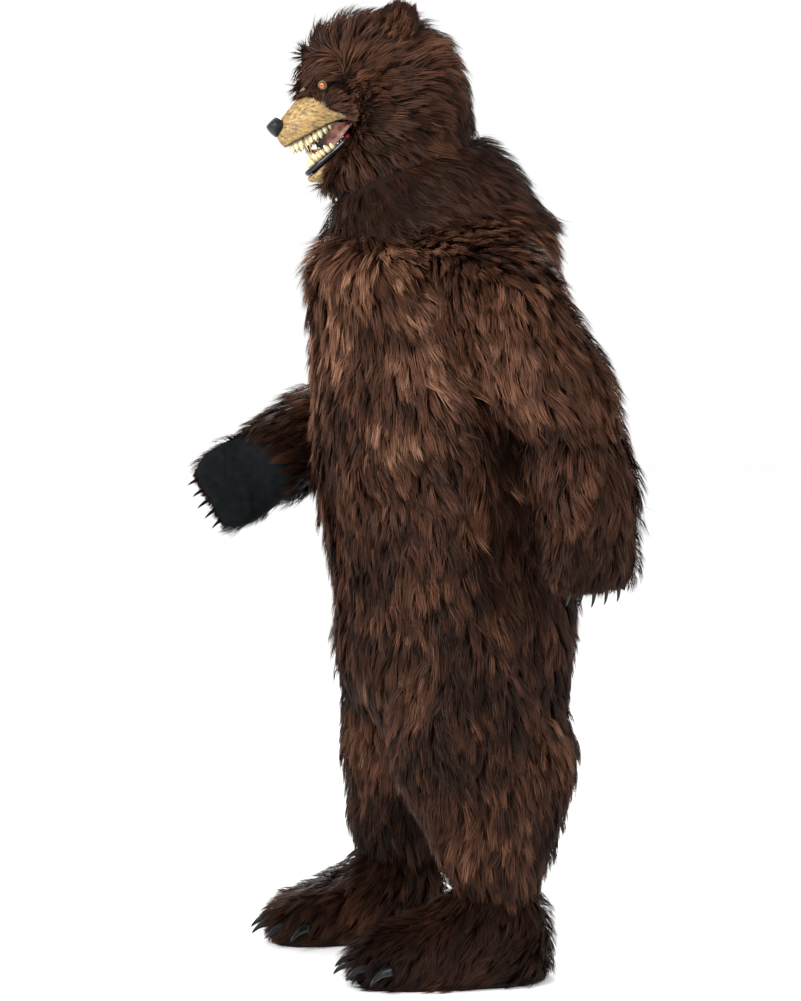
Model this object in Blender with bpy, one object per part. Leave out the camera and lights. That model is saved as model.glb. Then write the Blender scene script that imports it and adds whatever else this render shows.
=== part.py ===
"""Bear costume: a fur jumpsuit, a hooded mask with a moulded snout, mitts and boot covers, as worn and empty.

The bear faces -Y and its left side is +X. Heights in the tables are metres above the floor, and the frame's
origin is SHOULDER_HEIGHT above the floor, where the wearer's shoulders carry the suit.
Fur cloth is a wall as thick as its backing and lying pile, so the solids reach as far as the fur does.
"""
import math

import bmesh
import bpy
import numpy as np
from mathutils import Euler, Matrix, Vector
from mathutils.bvhtree import BVHTree

# Driving sizes, in metres
SHOULDER_HEIGHT = 1.425
SEAM_GAP = 0.0003
MASK_GAP = 0.0004
RIM_INSET = 0.0030
COWL_CLEARANCE = 0.0009
FUR = 0.020
FUR_TOWARDS_HEM = (0.018, 0.014, 0.010)
FUR_AT_NECK = 0.005
FUR_ON_COWL = (0.014, 0.014, 0.014, 0.012, 0.006)
LATEX = 0.003
VINYL = 0.003
SOLE = 0.008

QUARTER_COLUMNS = 9
YOKE_ROWS = 5
CROTCH_ROWS = 5
SLEEVE_COLUMNS = 16
HOOD_COLUMNS = 12
HOOD_ROWS = 11
COWL_COLUMNS = 26
ARCH_COLUMNS = 8

# Suit
UNDERARM_TURN_DEG = 101.8
SIDE_SEAM_STRAIGHT_BELOW = 1.0
UNDERARM_THINNING = 0.7
UNDERARM_REACH = 0.06
NECK_HALF_WIDTH = 0.115
NECK_HALF_DEPTH = 0.1125
NECK_CENTRE_Y = 0.0175
NECK_HEIGHT = 1.435
NECK_BACK_RISE = 0.075
ZIP_HALF_WIDTH = 0.012
ZIP_THICKNESS = 0.0022
ZIP_CLEARANCE = 0.0014
RAGLAN_FRONT_DEG = 52.0
RAGLAN_BACK_DEG = 128.0
CROTCH_HEIGHT = 0.435
CROTCH_Y = 0.055

# Columns: height, half width, centre y, half depth, fullness
TORSO = (
    (1.215, 0.262, 0.022, 0.232, 2.15),
    (1.095, 0.276, 0.025, 0.234, 2.20),
    (0.975, 0.285, 0.030, 0.232, 2.20),
    (0.855, 0.293, 0.048, 0.230, 2.25),
    (0.735, 0.297, 0.066, 0.230, 2.25),
    (0.615, 0.292, 0.068, 0.227, 2.25),
)
# Columns: height, inseam x, outseam x, centre y, half depth, share of the stride
LEG = (
    (0.405, 0.012, 0.298, 0.070, 0.185, 0.15),
    (0.355, 0.030, 0.300, 0.068, 0.165, 0.35),
    (0.305, 0.055, 0.296, 0.062, 0.146, 0.60),
    (0.260, 0.080, 0.294, 0.055, 0.128, 0.80),
    (0.220, 0.094, 0.290, 0.050, 0.108, 0.95),
    (0.190, 0.106, 0.274, 0.049, 0.090, 1.00),
    (0.170, 0.114, 0.266, 0.049, 0.080, 1.00),
)
STRIDE = 0.038

# Soft folds, each along a line on the left half and its mirror. Columns: height, turn from the centre front in
# degrees, height and turn at the other end, depth (a ridge if below zero), half width
BODY_FOLDS = (
    (1.11, 100, 0.86, 104, 0.022, 0.042),
    (0.84, 92, 0.54, 108, 0.020, 0.045),
    (0.78, 60, 0.58, 84, 0.012, 0.040),
    (1.08, 38, 0.90, 70, 0.010, 0.045),
    (0.96, 22, 0.88, 62, -0.008, 0.040),
    (0.72, 20, 0.60, 58, 0.010, 0.045),
    (1.00, 150, 0.82, 128, 0.012, 0.045),
    (0.70, 158, 0.56, 126, 0.014, 0.045),
    (0.60, 168, 0.50, 150, 0.010, 0.040),
)
# Rolls of the leg above the ankle. Columns: height, depth, half height
LEG_ROLLS = (
    (0.320, 0.008, 0.022),
    (0.237, 0.010, 0.018),
)

# Arms in the left arm's sense of x. Columns: x, y, height, radius across, radius fore and aft
LEFT_ARM = (
    (0.372, 0.104, 1.172, 0.100, 0.108),
    (0.385, 0.127, 1.128, 0.099, 0.106),
    (0.393, 0.146, 1.088, 0.097, 0.102),
    (0.397, 0.156, 1.050, 0.094, 0.098),
    (0.400, 0.163, 1.012, 0.095, 0.100),
    (0.404, 0.172, 0.976, 0.093, 0.099),
    (0.408, 0.179, 0.942, 0.091, 0.098),
    (0.411, 0.184, 0.912, 0.084, 0.092),
)
RIGHT_ARM = (
    (0.372, 0.048, 1.160, 0.099, 0.106),
    (0.380, 0.016, 1.110, 0.098, 0.105),
    (0.378, -0.028, 1.071, 0.096, 0.102),
    (0.368, -0.078, 1.047, 0.094, 0.098),
    (0.354, -0.122, 1.025, 0.092, 0.096),
    (0.338, -0.162, 1.004, 0.092, 0.096),
    (0.324, -0.198, 0.984, 0.090, 0.094),
    (0.312, -0.228, 0.968, 0.083, 0.088),
)
ARM_AXIS_AT_UNDERARM = {"left": (0.16, 0.18, -0.95), "right": (0.10, -0.18, -0.97)}
UNDERARM_RADIUS = (0.098, 0.108)
# Crosswise creases of a sleeve. Columns: place along the arm table, turn in degrees from the inner side, depth,
# half length along the arm, half turn in degrees
SLEEVE_FOLDS = (
    (1.4, 200, 0.014, 0.45, 75),
    (3.2, 170, 0.015, 0.42, 80),
    (4.5, 110, -0.006, 0.45, 60),
    (5.3, 215, 0.012, 0.42, 75),
    (3.0, 20, 0.012, 0.50, 60),
)

# Mitts. Columns: distance past the cuff, half width, half thickness of the back, half thickness of the palm
MITT = (
    (0.018, 0.080, 0.066, 0.056),
    (0.045, 0.084, 0.056, 0.040),
    (0.077, 0.087, 0.049, 0.030),
    (0.106, 0.085, 0.041, 0.024),
    (0.130, 0.077, 0.030, 0.017),
    (0.145, 0.066, 0.017, 0.010),
    (0.151, 0.056, 0.000, 0.000),
)
MITT_TURN = {"left": (0.02, 0.06, -1.0), "right": (-0.05, -0.86, -0.48)}
FUR_ON_MITT = 0.014
HAND_FIT = 0.0006
WALL_AT_TIP = (0.008, 0.003, 0.001)
HAND_CLAW_LENGTH = 0.052
HAND_CLAW_RADIUS = 0.0062
HAND_CLAW_SPACING = 0.0235
HAND_CLAW_ROOT = 0.141
HAND_CLAW_DROP = 0.006
MITT_INSIDE_CUFF = 0.020
MITT_WALL_AT_CUFF = 0.004

# Feet. Columns: height at the toe, height at the heel, half width, toe reach, heel reach, from the ankle's centre
BOOT = (
    (0.0083, 0.0083, 0.080, 0.268, 0.100),
    (0.028, 0.028, 0.091, 0.286, 0.112),
    (0.056, 0.056, 0.095, 0.290, 0.114),
    (0.084, 0.086, 0.093, 0.268, 0.110),
    (0.108, 0.114, 0.088, 0.220, 0.104),
    (0.128, 0.137, 0.084, 0.150, 0.098),
    (0.143, 0.150, 0.081, 0.098, 0.088),
)
TOE_FULLNESS = 2.5
FOOT_TURN_DEG = {"left": -4.0, "right": -4.0}
FUR_ON_BOOT = 0.016
FOOT_CLAW_LENGTH = 0.060
FOOT_CLAW_RADIUS = 0.0110
FOOT_CLAW_TURNS = (-36, -18, 0, 18, 36)
FOOT_CLAW_SIDEWAYS = 0.074
FOOT_CLAW_INSET = 0.018
FOOT_CLAW_SET_BACK = 0.045
FOOT_CLAW_HEIGHT = 0.045
BOOT_INSIDE_HEM = 0.022
BOOT_FIT_SHARE = 0.983
BOOT_TOP_SHARE = 0.90
WALL_AT_BOOT_TOP = (0.012, 0.006, 0.005)

# Mask, in the head's own side plane: y is from the head's pivot, and fan angles turn about the throat from +Y
HEAD_PIVOT_Y = -0.020
HEAD_TURN_DEG = -9.0
THROAT = (-0.1680, 1.4900)
# Columns: fan angle, reach on the crown side, reach on the throat side, half width
HOOD = (
    (104.0, 0.226, 0.024, 0.074),
    (99.5, 0.288, 0.024, 0.096),
    (92.0, 0.316, 0.024, 0.115),
    (84.0, 0.345, 0.024, 0.130),
    (72.3, 0.373, 0.024, 0.141),
    (61.7, 0.385, 0.024, 0.147),
    (55.0, 0.384, 0.024, 0.149),
    (48.5, 0.369, 0.024, 0.147),
    (41.5, 0.354, 0.024, 0.143),
    (32.5, 0.328, 0.024, 0.138),
    (23.8, 0.306, 0.024, 0.134),
)
MOUTH_NOTCH_DEG = 35.0
MOUTH_COLUMN = 7
FUR_AT_FACE = 0.005
EAR_PLACE = (0.096, -0.045, 1.815)
EAR_RADII = (0.053, 0.028, 0.048)
EAR_LEAN_DEG = 14.0
EAR_TURN_DEG = 52.0
EYE_PLACE = (0.052, -0.186, 1.703)
EYE_RADIUS = 0.011
EYE_SUNK = 0.35

# Front profiles of the snout and of the jaw, on the centre line. Columns: y, height
SNOUT_FRONT = ((-0.2476, 1.5885), (-0.2580, 1.5980), (-0.2630, 1.6100), (-0.2630, 1.6220),
               (-0.2600, 1.6345), (-0.2540, 1.6445))
JAW_FRONT = ((-0.1985, 1.5370), (-0.2025, 1.5330), (-0.2035, 1.5290), (-0.2020, 1.5250),
             (-0.2000, 1.5240), (-0.1980, 1.5236), (-0.1965, 1.5236), (-0.1950, 1.5240))
SNOUT_HALF_WIDTHS = (0.042, 0.045, 0.044, 0.038, 0.024, 0.0)
SNOUT_LIFTS = (0.0175, 0.0145, 0.0115, 0.0085, 0.0060, 0.0040)
JAW_WALL_SHARES = (1.0, 1.0, 1.0, 0.9, 0.8, 0.6, 0.45, 0.35)
JAW_HALF_WIDTHS = (0.036, 0.037, 0.036, 0.032, 0.026, 0.018, 0.009, 0.0)
JAW_LIFTS = (-0.0150, -0.0120, -0.0080, -0.0050, -0.0030, -0.0020, -0.0010, 0.0)
NOSE_PLACE = (-0.2655, 1.6270)
NOSE_RADII = (0.024, 0.018, 0.019)
NOSE_NARROWING = 0.35
NOSE_WEDGE_POWER = 0.4
LIP_RADIUS = 0.0055
LIP_OVERHANG = 0.0015
LIP_CLEARANCE = 0.0006
# Teeth on each side of an arch. Columns: distance from the centre front, base radius, length, share left at the tip.
# Each gum plate has its depth under the lip's edge, its thickness and its clearance from the lip's inside.
UPPER_TEETH = (
    (0.006, 0.0050, 0.018, 0.75),
    (0.0175, 0.0050, 0.019, 0.75),
    (0.029, 0.0052, 0.021, 0.70),
    (0.043, 0.0072, 0.034, 0.20),
    (0.0575, 0.0062, 0.023, 0.65),
    (0.0705, 0.0060, 0.022, 0.65),
    (0.083, 0.0058, 0.020, 0.65),
    (0.095, 0.0054, 0.017, 0.65),
    (0.106, 0.0048, 0.012, 0.65),
)
LOWER_TEETH = (
    (0.005, 0.0042, 0.016, 0.75),
    (0.0145, 0.0044, 0.017, 0.75),
    (0.027, 0.0068, 0.032, 0.20),
    (0.041, 0.0060, 0.022, 0.65),
    (0.054, 0.0058, 0.021, 0.65),
    (0.0665, 0.0056, 0.019, 0.65),
    (0.078, 0.0050, 0.015, 0.65),
)
UPPER_GUM = (0.0060, 0.0050, 0.0016)
LOWER_GUM = (0.0000, 0.0125, 0.0046)
GUM_START = 0.55
TOOTH_INSET = 0.0025
TOOTH_SUNK = 0.0025

# Neck cowl. Columns: front y, back y, half width, front height, side height, back height, share of the head's turn
COWL = (
    (-0.168, 0.130, 0.150, 1.482, 1.532, 1.598, 1.0),
    (-0.174, 0.172, 0.166, 1.466, 1.490, 1.568, 0.5),
    (-0.178, 0.208, 0.182, 1.440, 1.462, 1.510, 0.2),
    (-0.180, 0.226, 0.196, 1.400, 1.428, 1.435, 0.0),
)

COLOURS = {
    "fur": ((0.055, 0.022, 0.013), 0.75),
    "latex": ((0.42, 0.25, 0.11), 0.55),
    "black": ((0.012, 0.012, 0.014), 0.35),
    "claw": ((0.015, 0.013, 0.013), 0.25),
    "ivory": ((0.75, 0.66, 0.45), 0.35),
    "amber": ((0.62, 0.27, 0.05), 0.15),
    "zip": ((0.03, 0.02, 0.02), 0.60),
}


def up(height):
    """Frame z of a height above the floor."""
    return height - SHOULDER_HEIGHT


def column(table, index):
    """One named column of a table as a list."""
    return [row[index] for row in table]


def smooth(value):
    """Eased 0 to 1."""
    value = min(max(value, 0.0), 1.0)
    return value * value * (3.0 - 2.0 * value)


def unit(vector):
    return np.asarray(vector, float) / np.linalg.norm(vector)


def hermite(start, start_pull, end, end_pull, t):
    """Point on a curve that leaves start along start_pull and reaches end along end_pull."""
    start, start_pull, end, end_pull = (np.asarray(v, float) for v in (start, start_pull, end, end_pull))
    return ((2 * t ** 3 - 3 * t ** 2 + 1) * start + (t ** 3 - 2 * t ** 2 + t) * start_pull
            + (3 * t ** 2 - 2 * t ** 3) * end + (t ** 3 - t ** 2) * end_pull)


def mirrored(grid):
    """The same grid on the other side of the bear, with its columns turned round so that it still faces out."""
    flipped = grid[:, ::-1].copy()
    flipped[..., 0] *= -1.0
    return flipped


def point_key(point):
    return tuple(np.round(point, 6))


def shared_normals(grids):
    """Outward normals of each grid, averaged over every grid that passes through a point, so that seams agree.

    Where the faces round a point cancel out, as at the end of a ridge line, the normal leads away from the middle.
    """
    total = {}
    for grid in grids:
        rows, columns, _ = grid.shape
        for i in range(rows - 1):
            for j in range(columns - 1):
                corners = (grid[i, j], grid[i + 1, j], grid[i + 1, j + 1], grid[i, j + 1])
                for k in range(4):
                    here, after, before = corners[k], corners[(k + 1) % 4], corners[k - 1]
                    face = np.cross(after - here, before - here)
                    size = np.linalg.norm(face)
                    if size > 1e-10:
                        key = point_key(here)
                        total[key] = total.get(key, np.zeros(3)) + face / size
    found = []
    for grid in grids:
        middle = grid.reshape(-1, 3).mean(axis=0)
        sums = [[total.get(point_key(p), np.zeros(3)) for p in row] for row in grid]
        found.append(np.array([[unit(sums[i][j] if np.linalg.norm(sums[i][j]) > 1e-6 else grid[i, j] - middle)
                                for j in range(grid.shape[1])] for i in range(grid.shape[0])]))
    return found


def eased_edge(grid, gap, sides):
    """The grid with its edges drawn in by gap along the surface. sides names the edges by letter: t, b, l, r."""
    drawn = grid.copy()
    pairs = {"t": (np.s_[0, :], np.s_[1, :]), "b": (np.s_[-1, :], np.s_[-2, :]),
             "l": (np.s_[:, 0], np.s_[:, 1]), "r": (np.s_[:, -1], np.s_[:, -2])}
    for side in sides:
        edge, inner = pairs[side]
        step = grid[inner] - grid[edge]
        length = np.maximum(np.linalg.norm(step, axis=-1, keepdims=True), 1e-6)
        drawn[edge] += step / length * gap
    return drawn


def material(name):
    made = bpy.data.materials.get(name) or bpy.data.materials.new(name)
    colour, roughness = COLOURS[name]
    made.use_nodes = True
    shader = made.node_tree.nodes["Principled BSDF"]
    shader.inputs["Base Color"].default_value = (*colour, 1.0)
    shader.inputs["Roughness"].default_value = roughness
    shader.inputs["Metallic"].default_value = 0.0
    return made


def add_piece(name, bm, colour, smooth_angle=math.radians(50)):
    """Turns a bmesh into a named object of the costume."""
    bmesh.ops.remove_doubles(bm, verts=bm.verts, dist=1e-6)
    bmesh.ops.dissolve_degenerate(bm, edges=bm.edges, dist=1e-6)
    bmesh.ops.triangulate(bm, faces=[f for f in bm.faces if len(f.verts) > 3])
    mesh = bpy.data.meshes.new(name)
    bm.to_mesh(mesh)
    bm.free()
    mesh.shade_smooth()
    mesh.set_sharp_from_angle(angle=smooth_angle)
    made = bpy.data.objects.new(name, mesh)
    made.data.materials.append(material(colour))
    COSTUME.objects.link(made)
    return made


def add_faces(bm, corners):
    """Adds a face if its corners are really apart."""
    kept = []
    for vert in corners:
        if vert not in kept:
            kept.append(vert)
    if len(kept) > 2:
        bm.faces.new(kept)


def wall_mesh(outer, inner, ring=False, rims=(True, True)):
    """Closed wall between an outer and an inner grid. A ring grid closes on itself across its columns.

    rims says whether the first and the last row are open edges. A row whose two sides meet has none.
    """
    bm = bmesh.new()
    rows, columns, _ = outer.shape
    skins = [[[bm.verts.new(p) for p in row] for row in grid] for grid in (outer, inner)]
    out, inn = skins
    spans = columns if ring else columns - 1
    for i in range(rows - 1):
        for j in range(spans):
            k = (j + 1) % columns
            add_faces(bm, (out[i][j], out[i + 1][j], out[i + 1][k]))
            add_faces(bm, (out[i][j], out[i + 1][k], out[i][k]))
            add_faces(bm, (inn[i][j], inn[i + 1][k], inn[i + 1][j]))
            add_faces(bm, (inn[i][j], inn[i][k], inn[i + 1][k]))
    for j in range(spans):
        k = (j + 1) % columns
        if rims[0]:
            add_faces(bm, (out[0][j], out[0][k], inn[0][k], inn[0][j]))
        if rims[1]:
            add_faces(bm, (out[-1][k], out[-1][j], inn[-1][j], inn[-1][k]))
    if not ring:
        for i in range(rows - 1):
            add_faces(bm, (out[i + 1][0], out[i][0], inn[i][0], inn[i + 1][0]))
            add_faces(bm, (out[i][-1], out[i + 1][-1], inn[i + 1][-1], inn[i][-1]))
    return bm


def add_wall(name, outer, normals, thickness, colour, sides="tblr"):
    """A cloth piece: its outer grid, moved in along the shared normals, and drawn in at its seams."""
    inner = outer - normals * np.asarray(thickness)[..., None]
    drawn = [eased_edge(grid, SEAM_GAP / 2, sides) for grid in (outer, inner)]
    return add_piece(name, wall_mesh(*drawn), colour)


# Suit


def torso_point(height, turn):
    """Point of the torso at a height and a turn in radians from the centre front towards the left side."""
    heights = column(TORSO, 0)[::-1]
    values = [np.interp(height, heights, column(TORSO, k)[::-1]) for k in range(1, 5)]
    half_width, centre_y, half_depth, fullness = values
    power = 2.0 / fullness
    x = half_width * abs(math.sin(turn)) ** power
    y = centre_y - half_depth * math.copysign(abs(math.cos(turn)) ** power, math.cos(turn))
    return np.array((x, y, up(height)))


def side_turn(height):
    """Turn of the side seam in radians: at the side, and towards the back near the underarm."""
    share = smooth((height - SIDE_SEAM_STRAIGHT_BELOW) / (TORSO[0][0] - SIDE_SEAM_STRAIGHT_BELOW))
    return math.radians(90.0 + (UNDERARM_TURN_DEG - 90.0) * share)


def panel_turn(face, height, share):
    """Turn of a point of a body panel, a share of the way from the centre line to the side seam."""
    if face == "back":
        return math.pi - share * (math.pi - side_turn(height))
    return share * side_turn(height)


def underarm():
    """Point of the suit where the sleeve's seam meets the side seam."""
    return torso_point(TORSO[0][0], math.radians(UNDERARM_TURN_DEG))


def neck_point(turn):
    """Point of the suit's neck edge, by its turn in radians from the centre front."""
    back = (1.0 - math.cos(turn)) / 2.0
    return np.array((NECK_HALF_WIDTH * math.sin(turn), NECK_CENTRE_Y - NECK_HALF_DEPTH * math.cos(turn),
                     up(NECK_HEIGHT) + NECK_BACK_RISE * back ** 2))


def leg_point(row, side, around):
    """Point of a leg ring. around runs from the inseam over the front to the outseam and back, 0 to 2 pi."""
    height, inseam, outseam, centre_y, half_depth, share = row
    shift = share * (STRIDE if side == "left" else -STRIDE)
    centre = (inseam + outseam) / 2
    half_width = (outseam - inseam) / 2
    return np.array((centre - half_width * math.cos(around), centre_y + shift - half_depth * math.sin(around),
                     up(height)))


def raglan_pull(face):
    """Pull of the raglan seam where it leaves the underarm, for the front or the back."""
    return np.array((0.02, -0.20 if face == "front" else 0.17, 0.20))


def neck_pull(turn, face_weight):
    """Pull with which a line of the yoke reaches the neck edge, flatter over the shoulder than at the front."""
    outward = np.array((math.sin(turn), -math.cos(turn), 0.0))
    return -outward * (0.52 - 0.04 * face_weight) + np.array((0.0, 0.0, 0.02 + 0.14 * face_weight))


def yoke_line(start, start_pull, turn, t):
    return hermite(start, start_pull, neck_point(turn), neck_pull(turn, math.sin(turn) ** 2), t)


def body_panel(face, side):
    """Grid of a torso and leg panel from the neck down. Columns run from the centre to the side seam."""
    back = face == "back"
    grid = []
    for step in range(YOKE_ROWS):
        t = 1.0 - step / YOKE_ROWS
        row = []
        for j in range(QUARTER_COLUMNS + 1):
            s = j / QUARTER_COLUMNS
            neck_turn = math.radians(180 - s * (180 - RAGLAN_BACK_DEG) if back else s * RAGLAN_FRONT_DEG)
            start = torso_point(TORSO[0][0], panel_turn(face, TORSO[0][0], s))
            pull = (1 - s ** 3) * np.array((0.0, 0.0, 0.33)) + s ** 3 * raglan_pull(face)
            row.append(yoke_line(start, pull, neck_turn, t))
        grid.append(row)
    heights = [r[0] for r in TORSO]
    fine = []
    for a, b in zip(heights[:-1], heights[1:]):
        fine += [a, (a + b) / 2]
    fine.append(heights[-1])
    for height in fine:
        row = []
        for j in range(QUARTER_COLUMNS + 1):
            row.append(torso_point(height, panel_turn(face, height, j / QUARTER_COLUMNS)))
        grid.append(row)
    top = grid[-1]
    first_leg = LEG[0]
    for step in range(1, CROTCH_ROWS):
        t = step / CROTCH_ROWS
        row = []
        for j in range(QUARTER_COLUMNS + 1):
            s = j / QUARTER_COLUMNS
            around = -s * math.pi if back else s * math.pi
            end = leg_point(first_leg, side, around)
            down = np.array((0.0, 0.0, -(TORSO[-1][0] - first_leg[0])))
            if j == 0:
                end = np.array((0.0, CROTCH_Y, up(CROTCH_HEIGHT)))
            under = np.array((0.0, -0.30 if back else 0.30, -0.02))
            weight = max(1.0 - 2.2 * s, 0.0) ** 1.5
            row.append(hermite(top[j], down * (1.0 + 0.2 * weight), end, weight * under + (1 - weight) * down, t))
        grid.append(row)
    crotch = [leg_point(first_leg, side, (-1 if back else 1) * j / QUARTER_COLUMNS * math.pi)
              for j in range(QUARTER_COLUMNS + 1)]
    crotch[0] = np.array((0.0, CROTCH_Y, up(CROTCH_HEIGHT)))
    grid.append(crotch)
    for row in LEG[1:]:
        grid.append([leg_point(row, side, (-1 if back else 1) * j / QUARTER_COLUMNS * math.pi)
                     for j in range(QUARTER_COLUMNS + 1)])
    points = np.array(grid)
    return points[:, ::-1] if back else points


def arm_frames(side):
    """Centre, inner direction, forward direction and radii of each ring of an arm, from the underarm to the cuff."""
    table = LEFT_ARM if side == "left" else RIGHT_ARM
    axis = unit(ARM_AXIS_AT_UNDERARM[side])
    inward = unit(np.array((-1.0, 0.0, 0.0)) + axis[0] * axis)
    across, fore = UNDERARM_RADIUS
    centres = [underarm() - inward * across] + [np.array((x, y, up(z))) for x, y, z, _, _ in table]
    radii = [(across, fore)] + [(a, f) for _, _, _, a, f in table]
    frames = []
    for k, centre in enumerate(centres):
        if k:
            ahead = centres[min(k + 1, len(centres) - 1)]
            axis = unit(ahead - centres[k - 1])
        inward = unit(np.array((-1.0, 0.0, 0.0)) + axis[0] * axis)
        forward = np.cross(inward, axis)
        frames.append((centre, inward, forward, *radii[k]))
    return frames


def arm_ring_point(frame, around):
    centre, inward, forward, across, fore = frame
    return centre + inward * across * math.cos(around) + forward * fore * math.sin(around)


def sleeve_grid(side):
    """Grid of a sleeve from the neck to the cuff. Columns run from the inner side over the front, outer and back."""
    frames = arm_frames(side)
    axis = unit(ARM_AXIS_AT_UNDERARM[side])
    grid = []
    for step in range(YOKE_ROWS):
        t = 1.0 - step / YOKE_ROWS
        row = []
        for j in range(SLEEVE_COLUMNS + 1):
            s = j / SLEEVE_COLUMNS
            face = "front" if s < 0.5 else "back"
            edge = 1.0 - smooth(min(s, 1.0 - s) / 0.22)
            pull = edge * raglan_pull(face) + (1.0 - edge) * -axis * 0.42
            turn = math.radians(RAGLAN_FRONT_DEG + s * (RAGLAN_BACK_DEG - RAGLAN_FRONT_DEG))
            row.append(yoke_line(arm_ring_point(frames[0], 2 * math.pi * s), pull, turn, t))
        grid.append(row)
    for k, frame in enumerate(frames):
        row = []
        for j in range(SLEEVE_COLUMNS + 1):
            around = 2 * math.pi * j / SLEEVE_COLUMNS
            point = arm_ring_point(frame, around)
            push = 0.0
            for place, turn, depth, reach, spread in SLEEVE_FOLDS:
                off = (math.degrees(around) - turn + 180) % 360 - 180
                if 0 < k < len(frames) - 1:
                    push += depth * math.exp(-((k - place) / reach) ** 2 - (off / spread) ** 2)
            row.append(point - push * unit(point - frame[0]))
        grid.append(row)
    points = np.array(grid)
    points[-len(frames):, -1] = points[-len(frames):, 0]
    return points


def fold_line(height, turn):
    """A fold's end on the surface of the left half."""
    return torso_point(height, math.radians(turn))


def folded(grid, normals):
    """The grid with the body's soft folds pressed in along its normals."""
    moved = grid.copy()
    for i in range(grid.shape[0]):
        for j in range(grid.shape[1]):
            point = grid[i, j] * (1.0 if grid[i, j, 0] >= 0 else -1.0, 1.0, 1.0)
            push = 0.0
            for high, high_turn, low, low_turn, depth, half in BODY_FOLDS:
                start, end = fold_line(high, high_turn), fold_line(low, low_turn)
                along = np.clip(np.dot(point - start, end - start) / np.dot(end - start, end - start), 0, 1)
                away = np.linalg.norm(point - start - along * (end - start))
                push += depth * math.exp(-(away / half) ** 2)
            for height, depth, half in LEG_ROLLS:
                push += depth * math.exp(-((point[2] - up(height)) / half) ** 2)
            moved[i, j] -= push * normals[i, j]
    return moved


def row_thickness(grid):
    """Wall thickness of a suit panel, thin at the neck under the cowl and at the hem."""
    values = np.full(grid.shape[:2], FUR)
    for i in range(YOKE_ROWS):
        share = smooth(i / (YOKE_ROWS - 2))
        values[i] = FUR_AT_NECK + (FUR - FUR_AT_NECK) * share
    for k, value in enumerate(FUR_TOWARDS_HEM):
        values[k - len(FUR_TOWARDS_HEM)] = value
    pit = underarm()
    sided = grid * (-1.0 if grid[0, 1, 0] + grid[0, -2, 0] < 0 else 1.0, 1.0, 1.0)
    away = np.linalg.norm(sided - pit, axis=-1)
    return values * (1.0 - UNDERARM_THINNING * np.exp(-(away / UNDERARM_REACH) ** 2))


def build_suit():
    """All suit panels. Returns their grids, with the inner points of the hems and cuffs."""
    grids = {}
    for side in ("left", "right"):
        for face in ("front", "back"):
            grid = body_panel(face, side)
            grids[f"body_{face}_{side}"] = grid if side == "left" else mirrored(grid)
        grid = sleeve_grid(side)
        grids[f"sleeve_{side}"] = grid if side == "left" else mirrored(grid)
    names = list(grids)
    normals = dict(zip(names, shared_normals(list(grids.values()))))
    for name in names:
        if name.startswith("body"):
            grids[name] = folded(grids[name], normals[name])
    match_raglan(grids)
    normals = dict(zip(names, shared_normals(list(grids.values()))))
    inner = {}
    for name in names:
        thickness = row_thickness(grids[name])
        inner[name] = grids[name] - normals[name] * thickness[..., None]
        add_wall(name, grids[name], normals[name], thickness, "fur")
    return grids, normals, inner


def match_raglan(grids):
    """Carries the body's folds on to the sleeve edge that shares the raglan seam."""
    rows = YOKE_ROWS + 1
    for side in ("left", "right"):
        front, back, sleeve = grids[f"body_front_{side}"], grids[f"body_back_{side}"], grids[f"sleeve_{side}"]
        seam_front = front[:rows, -1] if side == "left" else front[:rows, 0]
        seam_back = back[:rows, 0] if side == "left" else back[:rows, -1]
        first, last = (0, -1) if side == "left" else (-1, 0)
        sleeve[:rows, first] = seam_front
        sleeve[:rows, last] = seam_back
        sleeve[rows - 1, first] = sleeve[rows - 1, last] = seam_front[-1]


def build_zip(inner):
    """Concealed zip tape inside the centre back seam, from the neck to the seat."""
    left, right = inner["body_back_left"], inner["body_back_right"]
    centre, left_in, right_in = left[:, -1], left[:, -2], right[:, 1]
    outer, inner_grid = [], []
    for i in range(1, YOKE_ROWS + 9):
        across = unit(left_in[i] - right_in[i])
        normal = unit(np.cross(across, unit(centre[i + 1] - centre[i - 1])))
        if normal[1] > 0:
            normal = -normal
        seat = centre[i] + normal * ZIP_CLEARANCE
        row = [seat + across * ZIP_HALF_WIDTH, seat, seat - across * ZIP_HALF_WIDTH]
        outer.append(row)
        inner_grid.append([p + normal * ZIP_THICKNESS for p in row])
    return add_piece("back_zip", wall_mesh(np.array(outer), np.array(inner_grid)), "zip")


# Mask


def head_matrix():
    """Turns the head about its own upright axis, from the head's side plane into the frame."""
    return Matrix.Translation((0.0, HEAD_PIVOT_Y, 0.0)) @ Matrix.Rotation(math.radians(HEAD_TURN_DEG), 4, "Z")


def in_head(points):
    """Moves points with x, y and height in the head's frame to where the head is."""
    matrix = np.array(head_matrix())
    points = np.asarray(points, float)
    placed = points @ matrix[:3, :3].T + matrix[:3, 3]
    placed[..., 2] -= SHOULDER_HEIGHT
    return placed


def hood_point(k, s):
    """Point of the hood's left half. k runs from the face to the neck, s from the throat over the side to the crown."""
    place = k * (len(HOOD) - 1)
    angle, crown, throat, half_width = (np.interp(place, range(len(HOOD)), column(HOOD, c)) for c in range(4))
    angle -= MOUTH_NOTCH_DEG * math.sin(math.pi * s) ** 1.5 * (1.0 - k) ** 2.2
    reach = (crown + throat) / 2 - (crown - throat) / 2 * math.cos(math.pi * s)
    turn = math.radians(angle)
    return np.array((half_width * math.sin(math.pi * s) ** 0.78,
                     THROAT[0] + reach * math.cos(turn), THROAT[1] + reach * math.sin(turn)))


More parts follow.
